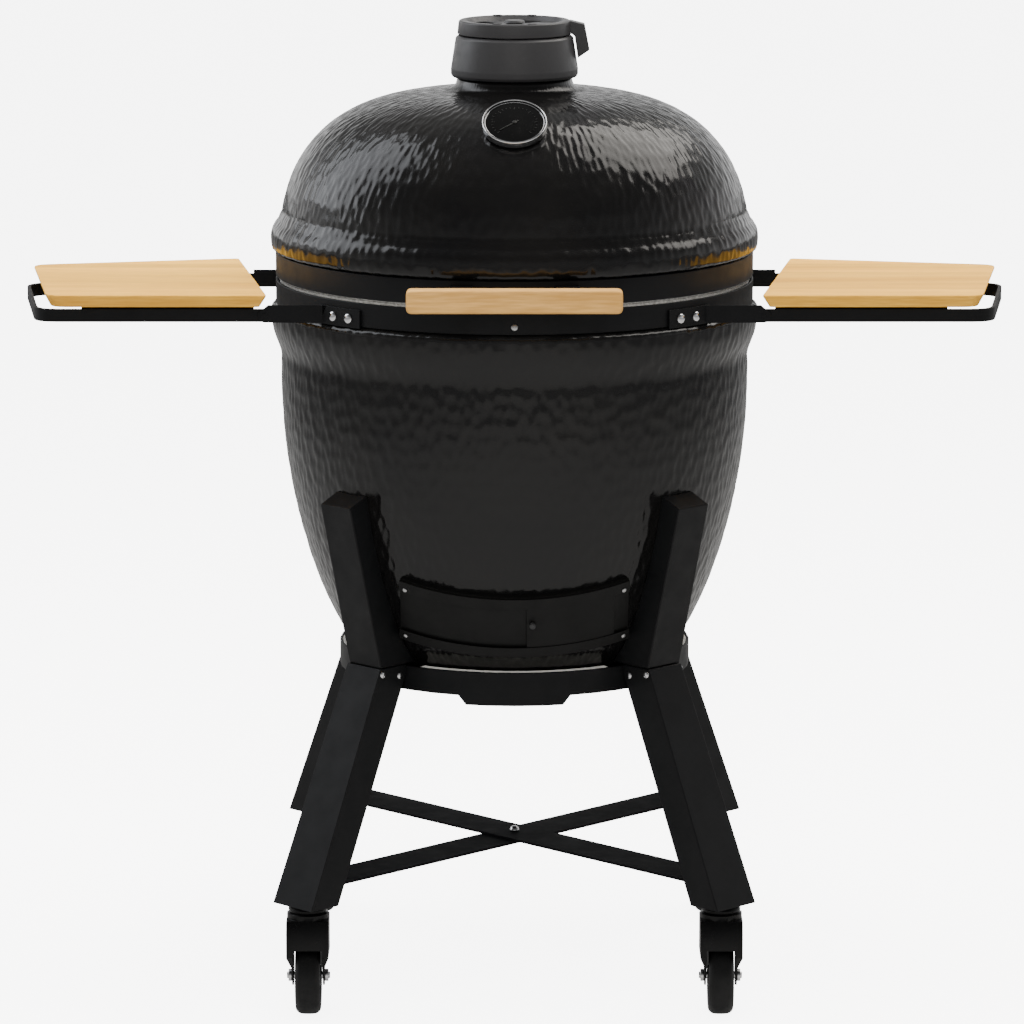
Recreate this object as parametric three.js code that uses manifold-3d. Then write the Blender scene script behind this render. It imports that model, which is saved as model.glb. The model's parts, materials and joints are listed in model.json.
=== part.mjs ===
// Kamado ceramic grill on a four-legged caster stand with two folding side tables.
// Millimetres, +Z up, floor at Z = 0, front of the grill towards -Y, kettle axis on X = Y = 0.
import * as THREE from "three";
import { mergeVertices } from "three/addons/utils/BufferGeometryUtils.js";
import Module from "manifold-3d";

const wasm = await Module();
wasm.setup();

// ---------------------------------------------------------------- driving dimensions (mm)
const GAP = 0.3;                // air left between neighbouring pieces
const ROUND = 40;               // facets round the ceramic shells and bands
const TRIM = 0.02;              // largest move allowed when needless edges are dropped
const WALL = 26;                // ceramic wall thickness

const LID_RIM_Z = 847.6;        // underside of the ceramic lid
const CREASE = { r: 280, z: 912 };           // where the dome meets the bulge above the band
const DOME = { r: 278.4, z: 893, rise: 172.5, bulge: 0.563, crown: 0.984, startDeg: 8, sweepDeg: 80 };
const NECK = { r: 68, bore: 50, top: 1080 };

const BOWL_RIM_Z = 839.8;
const FOOT = { r: 188, z: 398, floor: 35.5 };

const BAND = { inner: 281, outer: 284, low: [813, 841.2], high: [846.2, 875] };
const GASKET = { inner: 262, outer: 280, low: [840.1, 843.4], high: [843.7, 847.3] };

const HINGE = { y: 320, z: 845, boss: 17, armBoss: 13, pin: 5, coil: 9.5, wire: 2.2, turns: 6 };
const TABLE = { pivotX: 290, pivotZ: 820, top: 846.5, thick: 15, face: 2, bevel: 8 };
const FRAME = { low: 812.6, high: 827.6, half: 2, pinBore: 3.8 };
const LEG = {
  sheet: 3,
  top: { r: 298, w: 50, z: 612 },
  waist: { r: 250, w: 56, z: 404 },
  upperWaist: { r: 248, w: 54 },
  foot: { r: 367.5, w: 66, z: 133.5 },
  depth: { top: 60, waist: 46, foot: 43.5 },
};
const RING = { outer: 210, sheet: 3, low: 374, high: 402.8, shelf: 165 };
const BRACE = { z: 159.5, width: 58, sheet: 3, bolt: 4 };
const CASTER = {
  stem: 242, trail: 6, wheel: 46, tyre: 31, headTop: 133.2, headRadius: 24.8, room: 17, foot: 19.2,
};
const VENT_TILT = THREE.MathUtils.degToRad(25);
const VENT = { radius: 252, height: 84, halfAngle: 32, centre: new THREE.Vector3(0, -230.1, 462) };
const WINDOW = { angle: 9.25, centre: -13.75, half: 28 };

const FINISH = {
  ceramic: { color: 0x17181a, roughness: 0.16, metalness: 0 },
  coat: { color: 0x202226, roughness: 0.42, metalness: 0.3 },
  castMetal: { color: 0x3b3c3e, roughness: 0.42, metalness: 0.6 },
  steel: { color: 0xa9abad, roughness: 0.3, metalness: 1 },
  chrome: { color: 0xd9dadb, roughness: 0.12, metalness: 1 },
  felt: { color: 0xa3a39d, roughness: 0.95, metalness: 0 },
  bamboo: { color: 0xe2bd86, roughness: 0.5, metalness: 0 },
  fireclay: { color: 0xc9a27c, roughness: 0.9, metalness: 0 },
  iron: { color: 0x2a2a2b, roughness: 0.7, metalness: 0.6 },
  tyre: { color: 0x1d1d1e, roughness: 0.6, metalness: 0 },
};

// ---------------------------------------------------------------- shape helpers

/** A three.js geometry as a manifold solid. */
function solid(geometry) {
  const bare = geometry.clone();
  bare.deleteAttribute("normal");
  bare.deleteAttribute("uv");
  const welded = mergeVertices(bare, 1e-4);
  const mesh = new wasm.Mesh({
    numProp: 3,
    vertProperties: new Float32Array(welded.attributes.position.array),
    triVerts: new Uint32Array(welded.index.array),
  });
  return new wasm.Manifold(mesh);
}

/** Several three.js geometries joined into one manifold solid. */
function join(...geometries) {
  return geometries.map(solid).reduce((whole, piece) => whole.add(piece));
}

/** A named mesh from a manifold solid or a plain three.js geometry. */
function part(name, shape, finish) {
  let geometry = shape;
  if (!shape.isBufferGeometry) {
    const mesh = shape.simplify(TRIM).getMesh();
    geometry = new THREE.BufferGeometry();
    geometry.setAttribute("position", new THREE.BufferAttribute(mesh.vertProperties, 3));
    geometry.setIndex(new THREE.BufferAttribute(mesh.triVerts, 1));
    geometry.computeVertexNormals();
  }
  const node = new THREE.Mesh(geometry, new THREE.MeshStandardMaterial(finish));
  node.name = name;
  return node;
}

/** A box given by its low and high corners. */
function box(low, high) {
  const size = high.map((value, axis) => value - low[axis]);
  const middle = high.map((value, axis) => (value + low[axis]) / 2);
  return new THREE.BoxGeometry(...size).translate(...middle);
}

/** A solid of revolution about Z from [radius, height] points; the outline is closed. */
function turned(points, facets = ROUND) {
  const outline = points.map(([r, z]) => new THREE.Vector2(r, z));
  const area = THREE.ShapeUtils.area(outline);
  const ordered = area > 0 ? outline : outline.reverse();
  const open = ordered.every((point) => point.x > 0);
  if (open) ordered.push(ordered[0].clone());
  return new THREE.LatheGeometry(ordered, facets).rotateX(Math.PI / 2);
}

/** A square-cut ring about Z. */
function ring(inner, outer, low, high, facets = ROUND) {
  return turned([[inner, low], [outer, low], [outer, high], [inner, high]], facets);
}

/** A cylinder between two points. */
function rod(from, to, radius, facets = 16) {
  const start = new THREE.Vector3(...from);
  const along = new THREE.Vector3(...to).sub(start);
  const turn = new THREE.Quaternion().setFromUnitVectors(
    new THREE.Vector3(0, 1, 0), along.clone().normalize());
  return new THREE.CylinderGeometry(radius, radius, along.length(), facets)
    .applyQuaternion(turn).translate(...start.addScaledVector(along, 0.5).toArray());
}

/** A flat outline pushed up by depth; corners are [x, y]. */
function plate(corners, depth) {
  const shape = new THREE.Shape(corners.map(([x, y]) => new THREE.Vector2(x, y)));
  return new THREE.ExtrudeGeometry(shape, { depth, bevelEnabled: false });
}

/** An outline given as [x, z] in the XZ plane, reaching from the front face y0 back to y1. */
function frontPlate(corners, y0, y1) {
  return plate(corners, y1 - y0).rotateX(Math.PI / 2).translate(0, y1, 0);
}

/** An outline given in the YZ plane, as thick as x1 - x0. */
function sidePlate(corners, x0, x1) {
  return plate(corners, x1 - x0)
    .applyMatrix4(new THREE.Matrix4().makeBasis(
      new THREE.Vector3(0, 1, 0), new THREE.Vector3(0, 0, 1), new THREE.Vector3(1, 0, 0)))
    .translate(x0, 0, 0);
}

/** Points of an arc in a plane: centre, radius, start and end angle in degrees. */
function arc([cx, cy], radius, startDeg, endDeg, steps = 6) {
  return Array.from({ length: steps + 1 }, (_, i) => {
    const angle = THREE.MathUtils.degToRad(startDeg + ((endDeg - startDeg) * i) / steps);
    return [cx + radius * Math.cos(angle), cy + radius * Math.sin(angle)];
  });
}

/** Corners rounded off by arcs approximated with a quadratic curve. */
function rounded(corners, radii, steps = 4) {
  const points = [];
  corners.forEach(([x, y], i) => {
    const radius = radii[i];
    if (!radius) {
      points.push([x, y]);
      return;
    }
    const here = new THREE.Vector2(x, y);
    const before = new THREE.Vector2(...corners.at(i - 1)).sub(here).setLength(radius).add(here);
    const after = new THREE.Vector2(...corners[(i + 1) % corners.length])
      .sub(here).setLength(radius).add(here);
    const bend = new THREE.QuadraticBezierCurve(before, here, after);
    for (const point of bend.getPoints(steps)) points.push([point.x, point.y]);
  });
  return points;
}

/** A block that tapers in plan between two heights; each end is {x: [a, b], y: [a, b], z}. */
function tapered(bottom, top) {
  const geometry = new THREE.BoxGeometry(1, 1, 1);
  const position = geometry.attributes.position;
  for (let i = 0; i < position.count; i++) {
    const end = position.getZ(i) > 0 ? top : bottom;
    const x = end.x[position.getX(i) > 0 ? 1 : 0];
    const y = end.y[position.getY(i) > 0 ? 1 : 0];
    position.setXYZ(i, x, y, end.z);
  }
  return geometry;
}

/** The wedge of space between two azimuths, in degrees anticlockwise from +X. */
function wedge(fromDeg, toDeg, low, high) {
  const reach = 500;
  return plate([[0, 0], ...arc([0, 0], reach, fromDeg, toDeg, 4)], high - low).translate(0, 0, low);
}

/** Everything inside a vertical cylinder round the kettle axis. */
function core(radius, low, high) {
  return solid(turned([[0, low], [radius, low], [radius, high], [0, high]], ROUND * 2));
}

function mirrored(shape) {
  return shape.mirror([1, 0, 0]);
}

// ---------------------------------------------------------------- ceramic shells

/** Outer dome points from the crease up to the neck: a superellipse. */
function domePoints(inset, stopRadius, steps) {
  const points = [];
  for (let i = 0; i <= steps; i++) {
    const angle = THREE.MathUtils.degToRad(DOME.startDeg + (DOME.sweepDeg * i) / steps);
    const r = DOME.r * Math.cos(angle) ** DOME.bulge - inset * Math.cos(angle);
    const z = DOME.z + DOME.rise * Math.sin(angle) ** DOME.crown - inset * Math.sin(angle);
    if (r > stopRadius) points.push([r, z]);
  }
  return points;
}

function lidSolid() {
  const bandSeat = BAND.inner - GAP;
  const bulge = new THREE.SplineCurve([
    new THREE.Vector2(bandSeat, BAND.high[1] + 0.5), new THREE.Vector2(289.5, 884),
    new THREE.Vector2(289.3, 896), new THREE.Vector2(CREASE.r, CREASE.z),
  ]).getPoints(5).map((point) => [point.x, point.y]);
  const inside = domePoints(WALL, NECK.bore + 8, 6).reverse();
  return solid(turned([
    [bandSeat - WALL, LID_RIM_Z], [bandSeat, LID_RIM_Z], ...bulge,
    ...domePoints(0, NECK.r + 8, 12),
    [NECK.r, 1067], [NECK.r, NECK.top], [NECK.bore, NECK.top],
    [NECK.bore, 1042], ...inside,
  ]));
}

const WALL_STATIONS = [
  [FOOT.r, FOOT.z], [210, 428], [237, 487], [262.3, 575], [275.5, 663], [278.3, 735], [278, 750],
];
const BOWL_BULGE = [[280.3, 764], [284.2, 772], [288.2, 783], [289.8, 798], [289.8, 809.5]];

/** Outer bowl points, foot to rim, pushed in or out by offset. */
function bowlPoints(offset = 0) {
  const wall = new THREE.SplineCurve(WALL_STATIONS.slice(1).map((p) => new THREE.Vector2(...p)));
  const seat = BAND.inner - GAP;
  return [
    WALL_STATIONS[0], ...wall.getPoints(8).map((point) => [point.x, point.y]), ...BOWL_BULGE,
    [seat, BAND.low[0] - 0.5], [seat, BOWL_RIM_Z],
  ].map(([r, z]) => [r + offset, z]);
}

function bowlSolid() {
  const wallInside = new THREE.SplineCurve([
    new THREE.Vector2(150, FOOT.z + FOOT.floor), new THREE.Vector2(190, 447),
    new THREE.Vector2(214, 500), new THREE.Vector2(237, 580), new THREE.Vector2(249, 663),
    new THREE.Vector2(253, 740), new THREE.Vector2(258, BOWL_RIM_Z),
  ]).getPoints(7).map((point) => [point.x, point.y]).reverse();
  return solid(turned([
    [0, FOOT.z], ...bowlPoints(), ...wallInside, [0, FOOT.z + FOOT.floor],
  ])).subtract(onVent(box([-99, -34, -75], [99, 34, 80])));
}

/** The bowl grown by a clearance, for shaping whatever leans on it. */
function bowlClearance(gap) {
  return solid(turned([[0, FOOT.z - gap], ...bowlPoints(gap), [0, BOWL_RIM_Z]]));
}

// ---------------------------------------------------------------- draft vent

/** Places a piece built in draft vent axes: x across, y up the wall, z out of the wall. */
function onVent(geometry) {
  const up = new THREE.Vector3(0, -Math.sin(VENT_TILT), Math.cos(VENT_TILT));
  const out = new THREE.Vector3(0, -Math.cos(VENT_TILT), -Math.sin(VENT_TILT));
  const turn = new THREE.Matrix4().makeBasis(new THREE.Vector3(1, 0, 0), up, out);
  return solid(geometry.applyMatrix4(turn).translate(...VENT.centre.toArray()));
}

/** A curved plate on the vent's cylinder, between two radii, widths and heights. */
function curved(inner, outer, halfAngle, v0, v1, centreAngle = 0, facets = 12) {
  const points = [
    ...arc([0, -VENT.radius], outer, 90 + centreAngle - halfAngle, 90 + centreAngle + halfAngle, facets),
    ...arc([0, -VENT.radius], inner, 90 + centreAngle + halfAngle, 90 + centreAngle - halfAngle, facets),
  ];
  const across = plate(points, v1 - v0).rotateX(Math.PI / 2);
  return across.translate(0, v1, 0);
}

function draftVent(clearance) {
  const half = VENT.height / 2;
  const pad = onVent(curved(236, VENT.radius + 0.2, VENT.halfAngle, -half, half)).subtract(clearance);
  const window = onVent(curved(225, 262, WINDOW.angle, -WINDOW.half, WINDOW.half, WINDOW.centre));
  const rails = [-1, 1].map((side) => {
    const edge = side * (half - 7);
    const lip = onVent(curved(251, 256.4, VENT.halfAngle, edge - 7, edge + 7));
    const slot = onVent(curved(252.5, 255.5, VENT.halfAngle + 2, side > 0 ? 27 : -32, side > 0 ? 32 : -27));
    return lip.subtract(slot);
  });
  const frame = pad.subtract(window).add(rails[0]).add(rails[1]);
  const door = onVent(curved(252.9, 255.1, 12, -31.6, 31.6, -15.2, 6));
  const knob = onVent(rod([21, 6, 1], [21, 6, 9], 4));
  const screenHalf = WINDOW.half - 0.4;
  const slit = { width: 7, pitch: 10.5, from: 28, to: 95 };
  let screen = onVent(curved(246.5, 247.5, WINDOW.angle - 0.35, -screenHalf, screenHalf, WINDOW.centre, 5));
  for (let x = slit.from; x < slit.to; x += slit.pitch) {
    screen = screen.subtract(onVent(box([x, -25, -60], [x + slit.width, 25, 20])));
  }
  return [
    part("draft_frame", frame.subtract(clearance), FINISH.coat),
    part("draft_door", door.add(knob), FINISH.coat),
    part("ember_screen", screen, FINISH.steel),
  ];
}

// ---------------------------------------------------------------- fire side internals

const AIR_HOLES = { azimuths: [0, 40, 90, 140, 220, 320], radius: 11 };

function fireParts() {
  const pot = solid(turned([
    [120, 434.5], [147, 434.5], [178, 453], [200, 490], [222, 560], [231, 640],
    [209, 640], [200, 566], [176, 500], [166, 498], [160, 460], [120, 456],
  ], 30));
  let fireBox = pot.subtract(solid(box([-70, -260, 457], [70, -100, 497])));
  for (const side of AIR_HOLES.azimuths) {
    const angle = THREE.MathUtils.degToRad(side);
    const outside = [260 * Math.cos(angle), 260 * Math.sin(angle), 490];
    const hole = rod([0, 0, 470], outside, AIR_HOLES.radius, 8);
    fireBox = fireBox.subtract(solid(hole));
  }
  const fireRing = solid(turned([
    [210, 640.4], [232, 640.4], [240, 720], [243, 798], [223, 798], [219, 720],
  ], 30));
  return [
    part("fire_box", fireBox, FINISH.fireclay),
    part("fire_ring", fireRing, FINISH.fireclay),
    part("charcoal_grate", grate(172, 500.6, 8, 9, 34), FINISH.iron),
    part("cooking_grate", grate(236, 798.4, 8, 7, 28), FINISH.steel),
  ];
}

/** A round grate: a rim with parallel bars. */
function grate(radius, low, rim, bar, pitch) {
  let whole = solid(ring(radius - rim, radius, low, low + rim, 32));
  const reach = Math.floor((radius - rim) / pitch);
  for (let i = -reach; i <= reach; i++) {
    const x = i * pitch;
    const half = Math.sqrt((radius - rim / 2) ** 2 - x * x);
    whole = whole.add(solid(box([x - bar / 2, -half, low + 1], [x + bar / 2, half, low + rim - 1])));
  }
  return whole.add(solid(box([-radius + 4, -bar / 2, low + 0.5], [radius - 4, bar / 2, low + rim - 2])));
}

// ---------------------------------------------------------------- lid fittings

function topVent() {
  const windows = [];
  for (let i = 0; i < 4; i++) {
    windows.push([...arc([0, 0], 50, 0, 42, 5), ...arc([0, 0], 18, 42, 0, 3)].map(([x, y]) => {
      const turn = THREE.MathUtils.degToRad(90 * i + 2);
      return [x * Math.cos(turn) - y * Math.sin(turn), x * Math.sin(turn) + y * Math.cos(turn)];
    }));
  }
  const cut = (whole, turn, low, high) => windows.reduce((rest, corners) => {
    const slug = plate(corners, high - low).rotateZ(THREE.MathUtils.degToRad(turn));
    return rest.subtract(solid(slug.translate(0, 0, low)));
  }, whole);
  const base = solid(turned([
    [44, 1060], [NECK.bore - GAP, 1060], [NECK.bore - GAP, NECK.top + GAP], [73.5, NECK.top + GAP],
    [75.3, 1083.5], [75.3, 1090], [69.5, 1128], [62, 1129.5], [7.5, 1129.5], [7.5, 1124.5], [61, 1124.5],
    [66, 1090], [44, 1086],
  ], 30));
  const disc = solid(turned([
    [7.5, 1131], [67.6, 1131], [66, 1145.6], [64.6, 1147], [58, 1147], [54, 1141.5], [12, 1141.5],
    [7.5, 1143],
  ], 30));
  const tabOutline = [[60, 1132], [60, 1146.4], [66, 1146.4], [83, 1142.5], [89, 1112], [72, 1101]];
  const tab = solid(sidePlate(tabOutline, -11, 11).rotateZ(-Math.PI / 2));
  const sweep = solid(turned([
    [58, 1084], [76.4, 1084], [76.4, 1090.5], [71, 1128.4], [68, 1130.4], [58, 1130.4],
  ], 30));
  const pivot = turned([
    [0, 1118], [10, 1118], [10, 1124.2], [7, 1124.2], [7, 1143.4], [13, 1143.4], [11, 1147], [0, 1147],
  ], 20);
  return [
    part("vent_base", cut(base, 0, 1120, 1135), FINISH.castMetal),
    part("vent_cap", cut(disc, 45, 1125, 1150).add(tab.subtract(sweep)), FINISH.castMetal),
    part("vent_pivot", pivot, FINISH.steel),
  ];
}

const GAUGE = { seat: new THREE.Vector3(0, -196.2, 1040), rise: THREE.MathUtils.degToRad(54.5) };

/** Places a piece built along Z onto the front of the dome, Z pointing out of the ceramic. */
function onDome(geometry) {
  return geometry.rotateX(Math.PI / 2 - GAUGE.rise).translate(...GAUGE.seat.toArray());
}

function thermometer() {
  const gauge = turned([
    [0, -90], [3, -90], [3, 0.8], [34, 0.8], [37.5, 4], [37.5, 9], [35, 12.5], [32.5, 12.5],
    [31.5, 10], [0, 10],
  ], 28);
  return part("thermometer", onDome(gauge), FINISH.chrome);
}

function lidHandle() {
  const outline = rounded([[-123, 845], [123, 845], [123, 872.5], [-123, 872.5]], [7, 7, 7, 7]);
  const bar = frontPlate(outline, -337, -317);
  const top = 869.5;
  const hook = [
    [-270, 853], [-270, top], [-316.7, top], [-316.7, 848], [-313, 848], [-313, top - 4],
    [-288, top - 4], [-288, 853],
  ];
  const brackets = [-61, 61].map((x) => solid(sidePlate(hook, x - 13, x + 13))
    .subtract(core(BAND.outer + GAP, 840, 880)));
  return [
    part("lid_handle", bar, FINISH.bamboo),
    part("handle_bracket_left", brackets[0], FINISH.coat),
    part("handle_bracket_right", brackets[1], FINISH.coat),
  ];
}

// ---------------------------------------------------------------- bands, gaskets and hinge

function bandsAndGaskets() {
  return [
    part("lid_band", ring(BAND.inner, BAND.outer, ...BAND.high), FINISH.coat),
    part("base_band", ring(BAND.inner, BAND.outer, ...BAND.low), FINISH.coat),
    part("lid_gasket", ring(GASKET.inner, GASKET.outer, ...GASKET.high), FINISH.felt),
    part("base_gasket", ring(GASKET.inner, GASKET.outer, ...GASKET.low), FINISH.felt),
  ];
}

/** A strap section hugging the outside of a band between two azimuths. */
function strap(fromDeg, toDeg, low, high, thick = 3) {
  const inner = BAND.outer + GAP;
  return solid(ring(inner, inner + thick, low, high, ROUND * 2))
    .intersect(solid(wedge(fromDeg, toDeg, low - 1, high + 1)));
}

/** Two hinge ears reaching from a strap to the pin. */
function ears(x0, x1, low, high, boss) {
  const outline = [[272, low], [290, low], ...arc([HINGE.y, HINGE.z], boss, -100, 110, 10), [272, high]];
  const cut = core(BAND.outer + 2 * GAP, 780, 900);
  const bore = solid(rod([-90, HINGE.y, HINGE.z], [90, HINGE.y, HINGE.z], HINGE.pin + GAP));
  const pair = solid(sidePlate(outline, x0, x1)).add(solid(sidePlate(outline, -x1, -x0)));
  return pair.subtract(cut).subtract(bore);
}

function hingeParts() {
  const base = strap(76, 104, 800, 838).add(ears(54, 60, 802, 838, HINGE.boss))
    .subtract(bowlClearance(0.4));
  const arm = strap(79, 101, 850, 876).add(ears(44, 50, 851, 876, HINGE.armBoss));
  const pin = rod([-66, HINGE.y, HINGE.z], [66, HINGE.y, HINGE.z], HINGE.pin);
  const steps = 48;
  const coil = new THREE.CatmullRomCurve3(Array.from({ length: steps + 1 }, (_, i) => {
    const angle = (i / steps) * Math.PI * 2 * HINGE.turns;
    return new THREE.Vector3(
      -40 + (80 * i) / steps,
      HINGE.y + HINGE.coil * Math.cos(angle),
      HINGE.z + HINGE.coil * Math.sin(angle));
  }));
  const wire = arc([0, 0], HINGE.wire, 0, 300, 5).map(([x, y]) => new THREE.Vector2(x, y));
  const spring = new THREE.ExtrudeGeometry(
    new THREE.Shape(wire), { steps: 60, bevelEnabled: false, extrudePath: coil });
  return [
    part("hinge_base", base, FINISH.coat),
    part("hinge_arm", arm, FINISH.coat),
    part("hinge_pin", pin, FINISH.chrome),
    part("hinge_spring", spring, FINISH.steel),
  ];
}

// ---------------------------------------------------------------- side tables (built on the left)

/** A strap on the lower band with an arm at depth y that carries the table's pivot pin. */
function tableBracket(fromDeg, toDeg, y, root, end) {
  const flange = strap(fromDeg, toDeg, 811.5, 833);
  const outline = [[root, 811.8], ...end, [root, 832.6]];
  const arm = frontPlate(outline, y - 3, y);
  const pin = rod([-TABLE.pivotX, y - 3.5, TABLE.pivotZ], [-TABLE.pivotX, y + 6.5, TABLE.pivotZ], 3.5, 12);
  return flange.add(solid(arm)).add(solid(pin)).subtract(bowlClearance(0.4))
    .subtract(core(BAND.outer + GAP, 805, 840));
}

const FRAME_PATH = [[-276, -175.5], [-555, -175.5], [-582.5, 35], [-340, 122], [-276, 122]];

/** An open line shifted sideways, corners mitred. */
function shifted(path, distance) {
  return path.map((point, i) => {
    const here = new THREE.Vector2(...point);
    const before = new THREE.Vector2(...(path[i - 1] ?? point));
    const after = new THREE.Vector2(...(path[i + 1] ?? point));
    const inward = i > 0 ? here.clone().sub(before).normalize() : after.clone().sub(here).normalize();
    const outward = i < path.length - 1 ? after.clone().sub(here).normalize() : inward.clone();
    const middle = inward.clone().add(outward).normalize();
    const normal = new THREE.Vector2(-middle.y, middle.x);
    const stretch = distance / normal.dot(new THREE.Vector2(-inward.y, inward.x));
    return [here.x + normal.x * stretch, here.y + normal.y * stretch];
  });
}

function tableFrame() {
  const outer = shifted(FRAME_PATH, FRAME.half);
  const inner = shifted(FRAME_PATH, -FRAME.half).reverse();
  const outline = rounded([...outer, ...inner], [0, 26, 26, 0, 0, 0, 0, 24, 24, 0]);
  const bar = solid(plate(outline, FRAME.high - FRAME.low).translate(0, 0, FRAME.low));
  const pivot = [-TABLE.pivotX, -190, TABLE.pivotZ];
  const bore = rod(pivot, [pivot[0], 140, pivot[2]], FRAME.pinBore, 12);
  return bar.subtract(solid(bore));
}

/** A board with a thin upright edge and one bevel that runs in under it. */
function tableBoard() {
  const corners = [[-287, -196], [-542, -196], [-578, 64], [-334, 119]];
  const outline = rounded(corners, [5, 18, 18, 6]);
  const faceLow = TABLE.top - TABLE.face;
  const low = TABLE.top - TABLE.thick;
  const top = plate(outline, TABLE.face).translate(0, 0, faceLow);
  const bevel = plate(outline, faceLow - low).translate(0, 0, low);
  const position = bevel.attributes.position;
  const middle = { x: -438, y: -45 };
  const reach = { x: 147, y: 157 };
  for (let i = 0; i < position.count; i++) {
    if (position.getZ(i) > (low + faceLow) / 2) continue;
    position.setX(i, middle.x + (position.getX(i) - middle.x) * (1 - TABLE.bevel / reach.x));
    position.setY(i, middle.y + (position.getY(i) - middle.y) * (1 - TABLE.bevel / reach.y));
  }
  return join(top, bevel);
}

function sideTables() {
  const nose = arc([-TABLE.pivotX, TABLE.pivotZ], 7.6, 270, 110, 6);
  const square = [[-316, 811.8], [-316, 832.6]];
  const pieces = {
    table_bracket_front: [tableBracket(218, 231.5, -178, -218, [...nose, [-286, 832.6]]), FINISH.coat],
    table_bracket_rear: [tableBracket(148, 159, 119.7, -250, square), FINISH.coat],
    table_frame: [tableFrame(), FINISH.coat],
    table_board: [tableBoard(), FINISH.bamboo],
    table_rail: [solid(box([-503, -173.2, 823], [-303, -163.2, 831.2])), FINISH.coat],
  };
  return Object.entries(pieces).flatMap(([name, [shape, finish]]) => [
    part(`${name}_left`, shape, finish),
    part(`${name}_right`, mirrored(shape), finish),
  ]);
}

// ---------------------------------------------------------------- stand

/**
 * A leg stretch between two stations, along +X, as a channel open towards the kettle axis.
 * Gives the block and the block that hollows it.
 */
function channel(low, high, depthLow, depthHigh) {
  const open = 60;
  const section = (end, depth, cut) => ({
    x: [end.r - depth - cut * open, end.r - cut * LEG.sheet],
    y: [-end.w / 2 + cut * LEG.sheet, end.w / 2 - cut * LEG.sheet],
    z: end.z,
  });
  return [0, 1].map((cut) => solid(tapered(
    section(low, depthLow, cut), section(high, depthHigh, cut))));
}

function stationAt(low, high, z) {
  const t = (z - low.z) / (high.z - low.z);
  return { r: low.r + (high.r - low.r) * t, w: low.w + (high.w - low.w) * t, z };
}

/** The sloping top of an upper leg, as a block from height low up to that slope. */
function legCap(low, drop) {
  const outline = [[100, low], [330, low], [330, 594], [298, 599], [262, 615], [100, 684]]
    .map(([x, z], i) => [x, i > 1 ? z - drop : z]);
  return solid(frontPlate(outline, -60, 60));
}

function upperLeg(clearance) {
  const waist = { ...LEG.upperWaist, z: LEG.waist.z + GAP };
  const [outside, inside] = channel(waist, LEG.top, LEG.depth.top, LEG.depth.top);
  const hollow = inside.intersect(legCap(waist.z + LEG.sheet, LEG.sheet + 0.5));
  return outside.intersect(legCap(LEG.waist.z, 0)).subtract(hollow).subtract(clearance);
}

function lowerLeg() {
  const [outside, inside] = channel(LEG.foot, LEG.waist, LEG.depth.foot, LEG.depth.waist);
  const low = LEG.foot.z + LEG.sheet;
  const high = LEG.waist.z - LEG.sheet;
  const hollow = inside.intersect(solid(box([100, -60, low], [400, 60, high])));
  const stem = CASTER.stem * Math.SQRT2;
  const bore = solid(rod([stem, 0, 120], [stem, 0, 145], 5.5));
  const waistCut = core(RING.outer + GAP, RING.low - GAP, LEG.waist.z + 1);
  return outside.subtract(hollow).subtract(bore).subtract(waistCut);
}

function brace(low) {
  const face = stationAt(LEG.foot, LEG.waist, low + 20).r - LEG.sheet - 4;
  const flat = low + BRACE.sheet;
  const halfProfile = [
    [face - 4, low], [face, flat], [face - 8, low + 22], [face - 11, low + 22], [face - 5, flat],
  ];
  const outline = [...halfProfile, ...halfProfile.map(([x, z]) => [-x, z]).reverse()];
  const bar = frontPlate(outline, -BRACE.width / 2, BRACE.width / 2);
  return solid(bar).subtract(solid(rod([0, 0, 100], [0, 0, 200], BRACE.bolt + GAP)));
}

/** An L-section ring that the kettle's foot stands in, with a shallow apron at the front. */
function standRing() {
  const inner = RING.outer - RING.sheet;
  const shelfTop = FOOT.z - GAP;
  const band = turned([
    [inner, RING.low], [RING.outer, RING.low], [RING.outer, RING.high], [inner, RING.high],
    [inner, shelfTop], [RING.shelf, shelfTop], [RING.shelf, shelfTop - RING.sheet],
    [inner, shelfTop - RING.sheet],
  ]);
  const tab = frontPlate([[-66.5, 375], [-57, 363], [57, 363], [66.5, 375]], -215, -185);
  const apron = solid(ring(inner, RING.outer, 360, RING.low + 1)).intersect(solid(tab));
  return solid(band).add(apron);
}

function standParts(clearance) {
  const pieces = [];
  const names = ["rear_right", "rear_left", "front_left", "front_right"];
  names.forEach((name, i) => {
    const turn = 45 + 90 * i;
    pieces.push(part(`upper_leg_${name}`, upperLeg(clearance).rotate([0, 0, turn]), FINISH.coat));
    pieces.push(part(`lower_leg_${name}`, lowerLeg().rotate([0, 0, turn]), FINISH.coat));
  });
  pieces.push(part("stand_ring", standRing(), FINISH.coat));
  pieces.push(part("brace_upper", brace(BRACE.z).rotate([0, 0, 135]), FINISH.coat));
  pieces.push(part("brace_lower", brace(BRACE.z - BRACE.sheet - GAP).rotate([0, 0, 45]), FINISH.coat));
  const under = BRACE.z - BRACE.sheet - 2 * GAP;
  const over = BRACE.z + BRACE.sheet + GAP;
  const bolt = turned([
    [0, under - 7], [8, under - 7], [8, under], [BRACE.bolt, under], [BRACE.bolt, over],
    [6, over], [6, over + 2], [4.6, over + 4.8], [2.4, over + 6.2], [0, over + 6.6],
  ], 20);
  pieces.push(part("brace_bolt", bolt, FINISH.chrome));
  return pieces;
}

// ---------------------------------------------------------------- casters

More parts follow.
